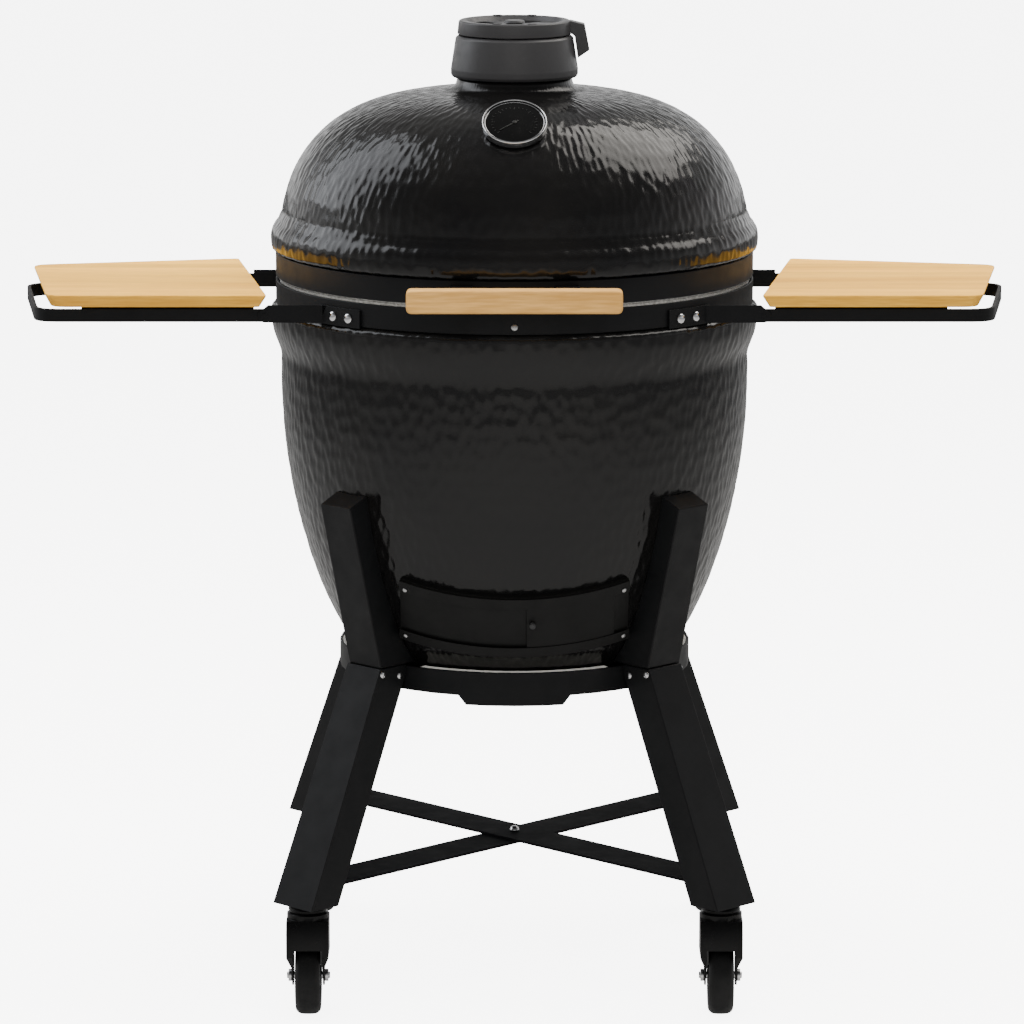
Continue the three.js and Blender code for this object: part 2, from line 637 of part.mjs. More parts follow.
/** The outside of a fork seen from the front: wide under the head, drawn in at the axle. */
function forkWidth() {
  const slab = (x0, x1, z0, z1) => solid(tapered(
    { x: [-x0, x0], y: [-40, 60], z: z0 }, { x: [-x1, x1], y: [-40, 60], z: z1 }));
  const wide = CASTER.headRadius;
  const narrow = CASTER.foot;
  return slab(wide, wide, 75, 118).add(slab(narrow, wide, 59, 75)).add(slab(narrow, narrow, 30, 59));
}

function casterFork() {
  const { trail, headRadius, headTop, room } = CASTER;
  const outline = [
    [-24, 118], [-31, 104], [-31, 76], [-18, 62], ...arc([trail, 46], 12, 190, 340, 6), [26, 66], [24, 118],
  ];
  const cheeks = solid(sidePlate(outline, -30, 30)).intersect(forkWidth());
  const pocket = solid(box([-room, -28.5, 30], [room, 60, 107]));
  const mouth = solid(box([-room, -60, 20], [room, -10, 84]));
  const head = solid(turned([
    [0, 115], [headRadius, 115], [headRadius, 124], [21, 126], [21, headTop], [5, headTop], [5, 140],
    [0, 140],
  ], 18));
  const bore = solid(rod([-40, trail, 46], [40, trail, 46], 5));
  return cheeks.subtract(pocket).subtract(mouth).add(head).subtract(bore);
}

function casterWheel() {
  const half = CASTER.tyre / 2;
  const r = CASTER.wheel;
  return turned([
    [5, -half], [12, -half], [14, -half + 5], [30, -half + 5], [32, -half], [r - 5, -half],
    [r, -half + 6], [r, half - 6], [r - 5, half], [32, half], [30, half - 5], [14, half - 5],
    [12, half], [5, half],
  ], 20).rotateY(Math.PI / 2).translate(0, CASTER.trail, r);
}

function casterAxle() {
  const seat = CASTER.foot + GAP;
  const end = [[4.6, seat], [7.5, seat], [7.5, seat + 4], [4, seat + 4], [4, 25.4], [0, 25.4]];
  return turned([...end.map(([r, z]) => [r, -z]).reverse(), ...end], 12)
    .rotateY(Math.PI / 2).translate(0, CASTER.trail, CASTER.wheel);
}

function casters() {
  const corners = { front_left: [-1, -1], front_right: [1, -1], rear_left: [-1, 1], rear_right: [1, 1] };
  return Object.entries(corners).flatMap(([name, [sx, sy]]) => {
    const at = [sx * CASTER.stem, sy * CASTER.stem, 0];
    return [
      part(`caster_fork_${name}`, casterFork().translate(at), FINISH.coat),
      part(`caster_wheel_${name}`, casterWheel().translate(...at), FINISH.tyre),
      part(`caster_axle_${name}`, casterAxle().translate(...at), FINISH.chrome),
    ];
  });
}

// ---------------------------------------------------------------- assembly

const clearance = bowlClearance(GAP);
const stem = solid(onDome(turned([[0, -80], [4, -80], [4, 20], [0, 20]], 16)));

const grill = new THREE.Group();
grill.name = "kamado_grill";
grill.add(
  part("lid_dome", lidSolid().subtract(stem), FINISH.ceramic),
  part("bowl", bowlSolid(), FINISH.ceramic),
  ...bandsAndGaskets(),
  ...fireParts(),
  ...topVent(),
  thermometer(),
  ...lidHandle(),
  ...draftVent(clearance),
  ...hingeParts(),
  ...sideTables(),
  ...standParts(clearance),
  ...casters(),
);

export default grill;
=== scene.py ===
"""Kamado ceramic grill: the visible surfaces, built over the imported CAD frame.

Metres, +Z up, floor at Z = 0, front of the grill towards -Y, kettle axis on X = Y = 0.
"""
import json
import math

import bmesh
import bpy
import numpy as np
from mathutils import Matrix, Vector

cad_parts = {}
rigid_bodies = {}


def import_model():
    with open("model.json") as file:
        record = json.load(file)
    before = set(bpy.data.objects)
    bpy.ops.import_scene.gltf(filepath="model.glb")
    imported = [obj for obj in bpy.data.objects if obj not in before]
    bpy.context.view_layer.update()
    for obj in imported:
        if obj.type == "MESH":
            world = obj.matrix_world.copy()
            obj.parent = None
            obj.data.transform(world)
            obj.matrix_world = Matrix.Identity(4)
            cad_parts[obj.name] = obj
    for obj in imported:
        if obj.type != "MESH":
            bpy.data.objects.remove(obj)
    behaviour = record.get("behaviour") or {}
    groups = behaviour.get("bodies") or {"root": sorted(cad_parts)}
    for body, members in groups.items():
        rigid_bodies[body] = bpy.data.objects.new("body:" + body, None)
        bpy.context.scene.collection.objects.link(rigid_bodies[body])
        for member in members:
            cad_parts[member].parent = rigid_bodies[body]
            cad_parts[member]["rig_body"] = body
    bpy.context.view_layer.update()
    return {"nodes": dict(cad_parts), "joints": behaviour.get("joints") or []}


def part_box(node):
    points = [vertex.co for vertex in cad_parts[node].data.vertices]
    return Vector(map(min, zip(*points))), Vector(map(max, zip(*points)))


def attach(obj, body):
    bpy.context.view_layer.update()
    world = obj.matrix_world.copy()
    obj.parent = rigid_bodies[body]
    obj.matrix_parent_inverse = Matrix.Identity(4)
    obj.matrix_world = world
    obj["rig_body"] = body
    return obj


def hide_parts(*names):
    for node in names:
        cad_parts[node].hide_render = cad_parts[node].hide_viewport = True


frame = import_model()
NODES = frame["nodes"]
JOINTS = {joint["name"]: joint for joint in frame["joints"]}

CORNERS = ("front_left", "front_right", "rear_left", "rear_right")
SIDES = ("left", "right")
STAND = "kettle_and_stand"

# Kettle (metres): wall, dome outline, neck, the seat of the bands and the bowl's outline as
# (radius, height) stations from the foot up.
WALL = 0.026
DOME = dict(radius=0.2784, base=0.893, rise=0.1725, bulge=0.563, crown=0.984)
NECK_RADIUS, NECK_BORE = 0.068, 0.050
BAND_SEAT = 0.2807
BOWL_STATIONS = ((0.188, 0.398), (0.199, 0.413), (0.210, 0.428), (0.237, 0.487), (0.2623, 0.575),
                 (0.2755, 0.663), (0.2783, 0.735), (0.278, 0.750))
BOWL_FLOOR = 0.0355

# Thermometer: where it sits on the dome, how steeply it looks up, and the dial's angles in degrees.
GAUGE_SEAT = (0, -0.1962, 1.040)
GAUGE_RISE = math.radians(54.5)
TICK_COUNT, FIRST_TICK, TICK_STEP = 25, -132, 11
NEEDLE_ANGLE = 128

# Top vent: the four openings of the collar and of the cap.
VENT_WINDOW = dict(inner=0.018, outer=0.050, start=2, sweep=42)

# Draft vent: sheets bent round a tilted cylinder. Inner and outer are radii of the cylinder, middle
# and half are angles round it in degrees, low and high are measured up the sheet from its centre.
VENT_TILT = math.radians(25)
VENT_RADIUS = 0.252
VENT_CENTRE = Vector((0, -0.2301, 0.462))
DRAFT_PLATE = dict(inner=0.240, outer=0.2522, middle=0, half=32, low=-0.042, high=0.042)
DRAFT_OPENING = dict(inner=0.225, outer=0.262, middle=13.75, half=9.25, low=-0.028, high=0.028)
DRAFT_DOOR = dict(inner=0.2529, outer=0.2551, middle=15.2, half=12, low=-0.0316, high=0.0316)
RAIL_HALF, RAIL_EDGE = 31.7, 0.0415
RAIL_LIP = dict(inner=0.2554, outer=0.2562, start=0.028)
RAIL_WEB = dict(inner=0.2518, outer=0.2560, start=0.0325)

# Hammered glaze: marks round the shell, mesh rows in a mark, size of one mark, how deep it is
# pressed (less where the shell is narrower than FULL_DEPTH_RADIUS), how far a mark is shifted in its
# cell round and up the shell, how wide it is and how steep its sides are.
MARKS_ROUND, MARK_ROWS = 190, 5
MARK_LENGTH = 0.018
MARK_DEPTH, LEAST_DEPTH, FULL_DEPTH_RADIUS = 0.00085, 0.45, 0.2
MARK_SHIFT_ROUND, MARK_SHIFT_UP = 0.34, 0.36
MARK_REACH, MARK_STEEPNESS, MARK_SHARPNESS = 0.42, 1.3, 14.0

# Bolts: how far out and how high their heads sit, and the radius of each kind of head.
BAND_FACE, STRAP_FACE = 0.284, 0.2873
BASE_BAND_BOLTS, HINGE_BASE_BOLTS, HINGE_ARM_BOLTS = 0.822, 0.819, 0.863
BRACKET_AZIMUTHS = (223.0, 228.1, 311.9, 317.0, 151.0, 156.5, 23.5, 29.0)
HANDLE_BOLTS = ((-0.061, -0.288, 0.860), (0.061, -0.288, 0.860))
SMALL_HEAD, BAND_HEAD, LEG_HEAD, BRACE_HEAD, HINGE_HEAD, BRACKET_HEAD = (
    0.0030, 0.0040, 0.0043, 0.0048, 0.005, 0.0058)

# Stand bolts, measured from the kettle axis along each leg, and how far they are to its sides: two
# through each side of the knee as (reach, height), and a pair on each end of a brace.
KNEE_BOLTS, KNEE_SIDE = ((0.2465, 0.3975), (0.2190, 0.3927)), 0.0282
BRACE_REACH, BRACE_SIDE = 0.3115, 0.015
UPPER_BRACE_TOP, LOWER_BRACE_TOP = 0.1625, 0.1592

# Hinge: pin radius and the coil spring round it.
PIN_RADIUS = 0.005
COIL = dict(turns=11, steps=40, sides=8, wire=0.0019, radius=0.0088, start=-0.041, length=0.082)

# Felt strips under the kettle's foot, made pale as painted light: they show as the bright line of
# backdrop seen through the gap between the foot and the stand ring. Radii, half angle, and how far below
# the stand ring's top.
GAP_LIGHT_STRIP = dict(inner=0.1935, outer=0.2066, half=33, low=0.0044, high=0.0008)

# Cooking grate: wire radii, spacing of the bars, and where the two cross bars are.
GRATE = dict(rim=0.004, bar=0.0025, cross=0.0017, pitch=0.0148, bars_each_side=15, cross_at=0.1)

# Camera, solved from the photo.
CAMERA = dict(lens=198.8, sensor=36, shift=-0.0024, place=(0, -6.675, 1.782), looks_down=10.41)


# -------- mesh helpers

def smooth_line(stations, count):
    """Points of a smooth curve through the stations (centripetal Catmull-Rom)."""
    points = np.array(stations, float)
    points = np.vstack([2 * points[0] - points[1], points, 2 * points[-1] - points[-2]])
    lengths = np.linalg.norm(np.diff(points, axis=0), axis=1) ** 0.5
    knots = np.concatenate([[0], np.cumsum(lengths)])
    line = []
    for t in np.linspace(knots[1], knots[-2], count):
        i = min(max(np.searchsorted(knots, t, side="right") - 1, 1), len(stations) - 1)
        p, k = points[i - 1:i + 3], knots[i - 1:i + 3]
        a = [p[j] + (p[j + 1] - p[j]) * (t - k[j]) / (k[j + 1] - k[j]) for j in range(3)]
        b = [a[j] + (a[j + 1] - a[j]) * (t - k[j]) / (k[j + 2] - k[j]) for j in range(2)]
        line.append(b[0] + (b[1] - b[0]) * (t - k[1]) / (k[2] - k[1]))
    return [tuple(point) for point in line]


def rounded(corners, radius, steps=4, closed=True):
    """A polygon with its corners turned into small curves."""
    radii = radius if isinstance(radius, (list, tuple)) else [radius] * len(corners)
    points = []
    for i, corner in enumerate(corners):
        here = Vector(corner)
        if not radii[i] or (not closed and i in (0, len(corners) - 1)):
            points.append(tuple(here))
            continue
        back = Vector(corners[i - 1]) - here
        on = Vector(corners[(i + 1) % len(corners)]) - here
        reach = min(radii[i], back.length * 0.48, on.length * 0.48)
        start, end = here + back.normalized() * reach, here + on.normalized() * reach
        for step in range(steps + 1):
            t = step / steps
            points.append(tuple(start * (1 - t) ** 2 + here * 2 * t * (1 - t) + end * t * t))
    return points


def arc(radius, start, end, count):
    """Points of an arc about the origin, angles in degrees."""
    angles = np.radians(np.linspace(start, end, count))
    return [(radius * math.cos(a), radius * math.sin(a)) for a in angles]


def revolve(outline, segments=128, closed=True):
    """Vertices and faces of (radius, height) points turned about Z."""
    angles = np.linspace(0, 2 * np.pi, segments, endpoint=False)
    vertices, rings = [], []
    for radius, height in outline:
        if radius < 1e-9:
            rings.append([len(vertices)] * segments)
            vertices.append((0, 0, height))
            continue
        rings.append(list(range(len(vertices), len(vertices) + segments)))
        vertices.extend(zip(radius * np.cos(angles), radius * np.sin(angles), [height] * segments))
    pairs = list(zip(rings, rings[1:]))
    if closed and outline[0][0] > 1e-9:
        pairs.append((rings[-1], rings[0]))
    faces = []
    for low, high in pairs:
        for i in range(segments):
            j = (i + 1) % segments
            face = list(dict.fromkeys((low[i], low[j], high[j], high[i])))
            if len(face) > 2:
                faces.append(tuple(face))
    return vertices, faces


def prism(outline, low, high):
    """Vertices and faces of an XY outline standing from low to high."""
    n = len(outline)
    vertices = [(x, y, low) for x, y in outline] + [(x, y, high) for x, y in outline]
    faces = [tuple(reversed(range(n))), tuple(range(n, 2 * n))]
    faces += [(i, (i + 1) % n, n + (i + 1) % n, n + i) for i in range(n)]
    return vertices, faces


def rod(start, end, radius, segments=20):
    """A round bar between two points."""
    start, end = Vector(start), Vector(end)
    length = (end - start).length
    turn = Vector((0, 0, 1)).rotation_difference(end - start).to_matrix().to_4x4()
    ends = min(radius * 0.25, length * 0.2)
    outline = [(0, 0), (radius - ends, 0), (radius, ends), (radius, length - ends),
               (radius - ends, length), (0, length)]
    return moved(revolve(outline, segments, closed=False), Matrix.Translation(start) @ turn)


def moved(shape, matrix):
    """A shape carried by a matrix."""
    vertices, faces = shape
    return [tuple(matrix @ Vector(v)) for v in vertices], faces


def merged(shapes):
    """Several shapes as one."""
    vertices, faces = [], []
    for some_vertices, some_faces in shapes:
        base = len(vertices)
        vertices.extend(some_vertices)
        faces.extend(tuple(i + base for i in face) for face in some_faces)
    return vertices, faces


def make(name, shape, material, body, stands_for=(), bevel=0.0, smooth=35):
    """A finished piece: an object from vertices and faces, riding on a body."""
    mesh = bpy.data.meshes.new(name)
    mesh.from_pydata([tuple(v) for v in shape[0]], [], shape[1])
    return finish_piece(name, mesh, material, body, stands_for, bevel, smooth)


def new_object(name, data):
    """An object in the scene, from a mesh, lamp or camera."""
    made = bpy.data.objects.new(name, data)
    bpy.context.scene.collection.objects.link(made)
    return made


def clean(mesh):
    """Welds doubled vertices and turns the faces outwards."""
    tidy = bmesh.new()
    tidy.from_mesh(mesh)
    bmesh.ops.remove_doubles(tidy, verts=tidy.verts, dist=1e-6)
    bmesh.ops.recalc_face_normals(tidy, faces=tidy.faces)
    tidy.to_mesh(mesh)
    tidy.free()


def finish_piece(name, mesh, material, body, stands_for=(), bevel=0.0, smooth=35):
    """Eases the edges of a mesh, gives it its material, and says what it rides on and stands for."""
    clean(mesh)
    piece = new_object(name, mesh)
    if bevel:
        edge = piece.modifiers.new("edge", "BEVEL")
        edge.width = bevel
        edge.segments = 3
        edge.limit_method = "ANGLE"
        edge.angle_limit = math.radians(32)
        apply_modifiers(piece)
    piece.data.shade_smooth()
    piece.data.set_sharp_from_angle(angle=math.radians(smooth))
    if bevel:
        piece.modifiers.new("flat_faces", "WEIGHTED_NORMAL").keep_sharp = True
        apply_modifiers(piece)
    piece.data.materials.clear()
    piece.data.materials.append(material)
    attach(piece, body)
    if stands_for:
        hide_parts(*stands_for)
    return piece


def apply_modifiers(piece):
    """Makes a piece's modifiers part of its mesh."""
    bpy.context.view_layer.update()
    evaluated = piece.evaluated_get(bpy.context.evaluated_depsgraph_get())
    result = bpy.data.meshes.new_from_object(evaluated)
    piece.modifiers.clear()
    old = piece.data
    piece.data = result
    bpy.data.meshes.remove(old)


def bored(shape, cutters):
    """A shape with the cutter shapes taken out of it, as vertices and faces."""
    made = []
    for i, some in enumerate([shape, *cutters]):
        mesh = bpy.data.meshes.new(f"cut_{i}")
        mesh.from_pydata([tuple(v) for v in some[0]], [], some[1])
        clean(mesh)
        made.append(new_object(mesh.name, mesh))
    for cutter in made[1:]:
        step = made[0].modifiers.new(cutter.name, "BOOLEAN")
        step.operation = "DIFFERENCE"
        step.solver = "EXACT"
        step.object = cutter
    apply_modifiers(made[0])
    mesh = made[0].data
    result = ([tuple(v.co) for v in mesh.vertices], [tuple(p.vertices) for p in mesh.polygons])
    for thing in made:
        data = thing.data
        bpy.data.objects.remove(thing)
        bpy.data.meshes.remove(data)
    return result


def from_cad(node, material, bevel=0.0008, smooth=32):
    """A CAD node's own shape with its edges eased, standing for that node."""
    mesh = NODES[node].data.copy()
    tidy = bmesh.new()
    tidy.from_mesh(mesh)
    bmesh.ops.remove_doubles(tidy, verts=tidy.verts, dist=1e-5)
    bmesh.ops.dissolve_limit(tidy, angle_limit=math.radians(0.6), verts=tidy.verts, edges=tidy.edges)
    tidy.to_mesh(mesh)
    tidy.free()
    body = NODES[node]["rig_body"]
    return finish_piece(f"{node}_finish", mesh, material, body, (node,), bevel, smooth)


# -------- material helpers

def new_material(name, color, roughness, metallic=0.0, specular=0.5):
    """A material and its shader, with the plain values set."""
    material = bpy.data.materials.new(name)
    material.use_nodes = True
    shader = material.node_tree.nodes["Principled BSDF"]
    shader.inputs["Base Color"].default_value = (*color, 1)
    shader.inputs["Roughness"].default_value = roughness
    shader.inputs["Metallic"].default_value = metallic
    shader.inputs["Specular IOR Level"].default_value = specular
    return material, shader


def node(material, kind, links=None, **settings):
    """A shader node with sockets set by name; a link is given as a socket."""
    made = material.node_tree.nodes.new("ShaderNode" + kind)
    for key, value in settings.items():
        setattr(made, key, value)
    for key, value in (links or {}).items():
        if isinstance(value, bpy.types.NodeSocket):
            material.node_tree.links.new(value, made.inputs[key])
        else:
            made.inputs[key].default_value = value
    return made


def place(material, stretch=(1, 1, 1)):
    """Object coordinates, stretched along the axes."""
    here = node(material, "TexCoord").outputs["Object"]
    return node(material, "Mapping", {"Vector": here, "Scale": stretch}).outputs["Vector"]


def noise(material, where, scale, detail=3.0, roughness=0.5):
    """Noise from 0 to 1."""
    links = {"Vector": where, "Scale": scale, "Detail": detail, "Roughness": roughness}
    return node(material, "TexNoise", links).outputs["Fac"]


def graded(material, value, start, end, low, high):
    """A value going from low to high while the given one goes from start to end."""
    links = {"Value": value, "From Min": start, "From Max": end, "To Min": low, "To Max": high}
    return node(material, "MapRange", links).outputs["Result"]


def spread(material, value, low, high):
    """The middle range of a noise spread from low to high."""
    return graded(material, value, 0.3, 0.7, low, high)


def ramp(material, value, stops):
    """A colour ramp with (position, colour) stops."""
    made = node(material, "ValToRGB", {"Fac": value})
    elements = made.color_ramp.elements
    while len(elements) < len(stops):
        elements.new(0.5)
    for element, (position, color) in zip(elements, stops):
        element.position = position
        element.color = (*color, 1)
    return made.outputs["Color"]


def bump(material, shader, height, distance, strength=1.0):
    """Fine relief on a shader, from a height value."""
    made = node(material, "Bump", {"Height": height, "Distance": distance, "Strength": strength})
    material.node_tree.links.new(made.outputs["Normal"], shader.inputs["Normal"])


def drive(material, value, shader, socket):
    """Feeds a value into a shader socket."""
    material.node_tree.links.new(value, shader.inputs[socket])


# -------- materials

def glaze():
    """Near-black fired glaze with a fine orange-peel over the hammered marks."""
    material, shader = new_material("glaze", (0.007, 0.007, 0.0075), 0.15, specular=0.36)
    where = place(material)
    drive(material, spread(material, noise(material, where, 60), 0.13, 0.22), shader, "Roughness")
    pool = ramp(material, noise(material, where, 9, 4),
                [(0.35, (0.0035, 0.0035, 0.0038)), (0.7, (0.006, 0.0058, 0.0056))])
    drive(material, pool, shader, "Base Color")
    bump(material, shader, noise(material, place(material, (1, 1, 0.55)), 210, 2), 0.00022, 0.8)
    return material


def powder_coat(name="powder_coat", color=(0.0028, 0.003, 0.0035), roughness=0.52, specular=0.25):
    """Satin black powder coat: a fine even pebble and slightly rubbed tone."""
    material, shader = new_material(name, color, roughness, specular=specular)
    where = place(material)
    drive(material, spread(material, noise(material, where, 35, 4), roughness - 0.05, roughness + 0.08),
          shader, "Roughness")
    tone = ramp(material, noise(material, where, 14, 5),
                [(0.3, tuple(c * 0.85 for c in color)), (0.75, tuple(c * 1.25 for c in color))])
    drive(material, tone, shader, "Base Color")
    bump(material, shader, noise(material, where, 900, 2), 0.00006, 0.5)
    return material


def cast_metal():
    """Dark satin casting with a faint sand texture."""
    color = (0.031, 0.031, 0.033)
    material, shader = new_material("cast_metal", color, 0.42, metallic=0.15, specular=0.35)
    where = place(material)
    drive(material, spread(material, noise(material, where, 80, 5), 0.3, 0.46), shader, "Roughness")
    bump(material, shader, noise(material, where, 700, 4), 0.00012, 0.5)
    return material


def bright_metal(name, color, low, high, scale=400):
    """Polished or satin bare metal, its roughness wavering between low and high."""
    material, shader = new_material(name, color, (low + high) / 2, metallic=1.0)
    where = place(material)
    drive(material, spread(material, noise(material, where, scale, 3), low, high), shader, "Roughness")
    bump(material, shader, noise(material, where, scale, 2), 0.00002, 0.4)
    return material


def felt(name="felt", low=0.24, high=0.52):
    """Pressed felt, mottled from one grey to another."""
    material, shader = new_material(name, (high, high, high * 0.96), 0.95, specular=0.1)
    shader.inputs["Sheen Weight"].default_value = 0.3
    where = place(material)
    tone = ramp(material, noise(material, where, 300, 5),
                [(0.3, (low, low, low * 0.96)), (0.7, (high, high, high * 0.96))])
    drive(material, tone, shader, "Base Color")
    bump(material, shader, noise(material, where, 900, 4), 0.0006, 0.9)
    return material


def wood(name, light, dark, strips=28.0):
    """Oiled light wood: glued strips of slightly different tone with fine grain along them."""
    material, shader = new_material(name, light, 0.6, specular=0.15)
    warp = noise(material, place(material, (0.6, 9, 9)), 3, 3)
    grain = noise(material, place(material, (5, 62, 62)), 6, 6)
    parts = node(material, "SeparateXYZ", {"Vector": place(material)})
    row = node(material, "Math", {0: parts.outputs["Y"], 1: strips}, operation="MULTIPLY")
    strip = node(material, "Math", {0: row.outputs["Value"]}, operation="FLOOR").outputs["Value"]
    tint = node(material, "TexWhiteNoise", {"W": strip}, noise_dimensions="1D").outputs["Value"]
    figure = node(material, "Math", {0: grain, 1: warp, 2: 0.1}, operation="MULTIPLY_ADD")
    color = ramp(material, figure.outputs["Value"], [(0.23, dark), (0.45, light)])
    shade = graded(material, tint, 0, 1, 0.82, 1.08)
    toned = node(material, "VectorMath", {0: color, "Scale": shade}, operation="SCALE").outputs["Vector"]
    drive(material, toned, shader, "Base Color")
    drive(material, spread(material, grain, 0.52, 0.68), shader, "Roughness")
    bump(material, shader, grain, 0.00012, 0.5)
    return material


def fireclay():
    """Pale refractory clay with brown speckles."""
    material, shader = new_material("fireclay", (0.55, 0.40, 0.27), 0.9, specular=0.2)
    where = place(material)
    tone = ramp(material, noise(material, where, 22, 8, 0.6),
                [(0.3, (0.34, 0.25, 0.18)), (0.55, (0.56, 0.41, 0.28)), (0.8, (0.66, 0.52, 0.38))])
    drive(material, tone, shader, "Base Color")
    bump(material, shader, noise(material, where, 260, 6), 0.0005, 0.7)
    return material


def cast_iron():
    """Seasoned black iron, rough from the sand."""
    material, shader = new_material("cast_iron", (0.025, 0.025, 0.026), 0.65, metallic=0.5)
    where = place(material)
    drive(material, spread(material, noise(material, where, 120, 5), 0.5, 0.8), shader, "Roughness")
    bump(material, shader, noise(material, where, 500, 5), 0.0004, 0.7)
    return material


def rubber(name="rubber", color=(0.0016, 0.0016, 0.0017), roughness=0.5):
    """Rubber or plain plastic with a faint skin."""
    material, shader = new_material(name, color, roughness, specular=0.4)
    where = place(material)
    drive(material, spread(material, noise(material, where, 60, 4), roughness - 0.08, roughness + 0.12),
          shader, "Roughness")
    bump(material, shader, noise(material, where, 1200, 3), 0.00008, 0.5)
    return material


GLAZE = glaze()
COAT = powder_coat()
SHEET = powder_coat("draft_sheet", (0.0026, 0.0026, 0.0025), 0.5)
BRACE_COAT = powder_coat("brace_coat", (0.0038, 0.004, 0.0046), 0.75, specular=0.08)
CAST = cast_metal()
CHROME = bright_metal("chrome", (0.78, 0.78, 0.79), 0.05, 0.14, scale=90)
STEEL = bright_metal("steel", (0.52, 0.52, 0.52), 0.22, 0.38)
FORK = powder_coat("caster_enamel", (0.0013, 0.0013, 0.0014), 0.3)
FELT = felt()
# Pale felt for the strips under the kettle's foot: painted light, a bright line that stands in for the
# backdrop seen between the foot and the stand ring.
FELT_PAINTED_GAP_LIGHT = felt("felt_painted_gap_light", 0.75, 0.9)
BOARD = wood("board_wood", (1.0, 0.55, 0.08), (0.76, 0.37, 0.045))
HANDLE_WOOD = wood("handle_wood", (0.86, 0.50, 0.16), (0.62, 0.33, 0.09), strips=70.0)
CLAY = fireclay()
IRON = cast_iron()
TYRE = rubber()
HUB = rubber("hub_plastic", (0.03, 0.03, 0.031), 0.38)
DIAL = rubber("dial_face", (0.001, 0.001, 0.001), 0.12)
PRINT = rubber("dial_print", (0.008, 0.008, 0.008), 0.5)


def coated(node, bevel):
    """A CAD node's own shape in black powder coat."""
    from_cad(node, COAT, bevel)


# -------- kettle

def hammer_marks(columns, rows, seed):
    """Relief of a grid of columns x rows vertices, 0 on the ridges to 1 in a mark's middle."""
    pick = np.random.default_rng(seed)
    tall = int(np.ceil(rows[-1])) + 3
    shift_u = pick.uniform(-MARK_SHIFT_ROUND, MARK_SHIFT_ROUND, (MARKS_ROUND, tall))
    shift_v = pick.uniform(-MARK_SHIFT_UP, MARK_SHIFT_UP, (MARKS_ROUND, tall))
    u, v = np.meshgrid(columns, rows)
    cell_u, cell_v = np.floor(u).astype(int), np.floor(v).astype(int)
    total = np.zeros_like(u)
    for du in (-1, 0, 1):
        for dv in (-1, 0, 1):
            i, j = (cell_u + du) % MARKS_ROUND, np.clip(cell_v + dv, -1, tall - 2) + 1
            middle_u = cell_u + du + 0.5 + shift_u[i, j] + 0.5 * ((cell_v + dv) % 2)
            middle_v = cell_v + dv + 0.5 + shift_v[i, j]
            total += np.exp(-MARK_SHARPNESS * ((u - middle_u) ** 2 + (v - middle_v) ** 2))
    nearest = -np.log(total + 1e-9) / MARK_SHARPNESS
    return np.clip(1.0 - nearest / MARK_REACH, 0.0, 1.0) ** MARK_STEEPNESS


def hammered_shell(name, outside, inside, body, node_name, segments, seed, fade_ends):
    """A ceramic shell: a finely divided outside with hammer marks and a plain inside."""
    outside = np.array(outside)
    steps = np.linalg.norm(np.diff(outside, axis=0), axis=1)
    run = np.concatenate([[0], np.cumsum(steps)])
    fine = np.arange(0, run[-1], MARK_LENGTH / MARK_ROWS)
    radius, height = np.interp(fine, run, outside[:, 0]), np.interp(fine, run, outside[:, 1])
    slope = np.stack([np.gradient(radius), np.gradient(height)], 1)
    slope /= np.linalg.norm(slope, axis=1, keepdims=True)
    normal = np.stack([slope[:, 1], -slope[:, 0]], 1)
    columns = np.arange(segments) * MARKS_ROUND / segments
    relief = hammer_marks(columns, fine / MARK_LENGTH, seed)
    fade = np.clip(fine / fade_ends[0], 0, 1) * np.clip((fine[-1] - fine) / fade_ends[1], 0, 1)
    push = -MARK_DEPTH * relief * fade[:, None]
    push *= np.clip(radius / FULL_DEPTH_RADIUS, LEAST_DEPTH, 1)[:, None]
    angle = columns * 2 * np.pi / MARKS_ROUND
    r = radius[:, None] + normal[:, 0:1] * push
    z = height[:, None] + normal[:, 1:2] * push
    vertices = np.stack([r * np.cos(angle), r * np.sin(angle), z], -1).reshape(-1, 3)
    rings = []
    for ring_radius, ring_height in inside:
        heights = np.full(segments, ring_height)
        rings.append(np.stack([ring_radius * np.cos(angle), ring_radius * np.sin(angle), heights], 1))
    vertices = np.vstack([vertices, *rings])
    rows = len(fine) + len(inside)
    row = np.arange(rows)[:, None] * segments
    next_row = np.roll(row, -1, axis=0)
    column = np.arange(segments)[None, :]
    next_column = np.roll(column, -1, axis=1)
    corners = [row + column, row + next_column, next_row + next_column, next_row + column]
    faces = np.stack(corners, -1).reshape(-1, 4)
    mesh = bpy.data.meshes.new(name)
    mesh.vertices.add(len(vertices))
    mesh.vertices.foreach_set("co", vertices.ravel())
    mesh.loops.add(faces.size)
    mesh.loops.foreach_set("vertex_index", faces.ravel().astype(np.int32))
    mesh.polygons.add(len(faces))
    mesh.polygons.foreach_set("loop_start", np.arange(0, faces.size, 4, dtype=np.int32))
    mesh.update(calc_edges=True)
    return finish_piece(name, mesh, GLAZE, body, (node_name,), smooth=60)


def dome_line(inset, stop_radius, count):
    """Dome outline from the crease up to a radius: a superellipse, moved in by inset."""
    line = []
    for angle in np.radians(np.linspace(8, 88, count)):
        radius = DOME["radius"] * math.cos(angle) ** DOME["bulge"] - inset * math.cos(angle)
        height = DOME["base"] + DOME["rise"] * math.sin(angle) ** DOME["crown"] - inset * math.sin(angle)
        if radius > stop_radius:
            line.append((radius, height))
    return line


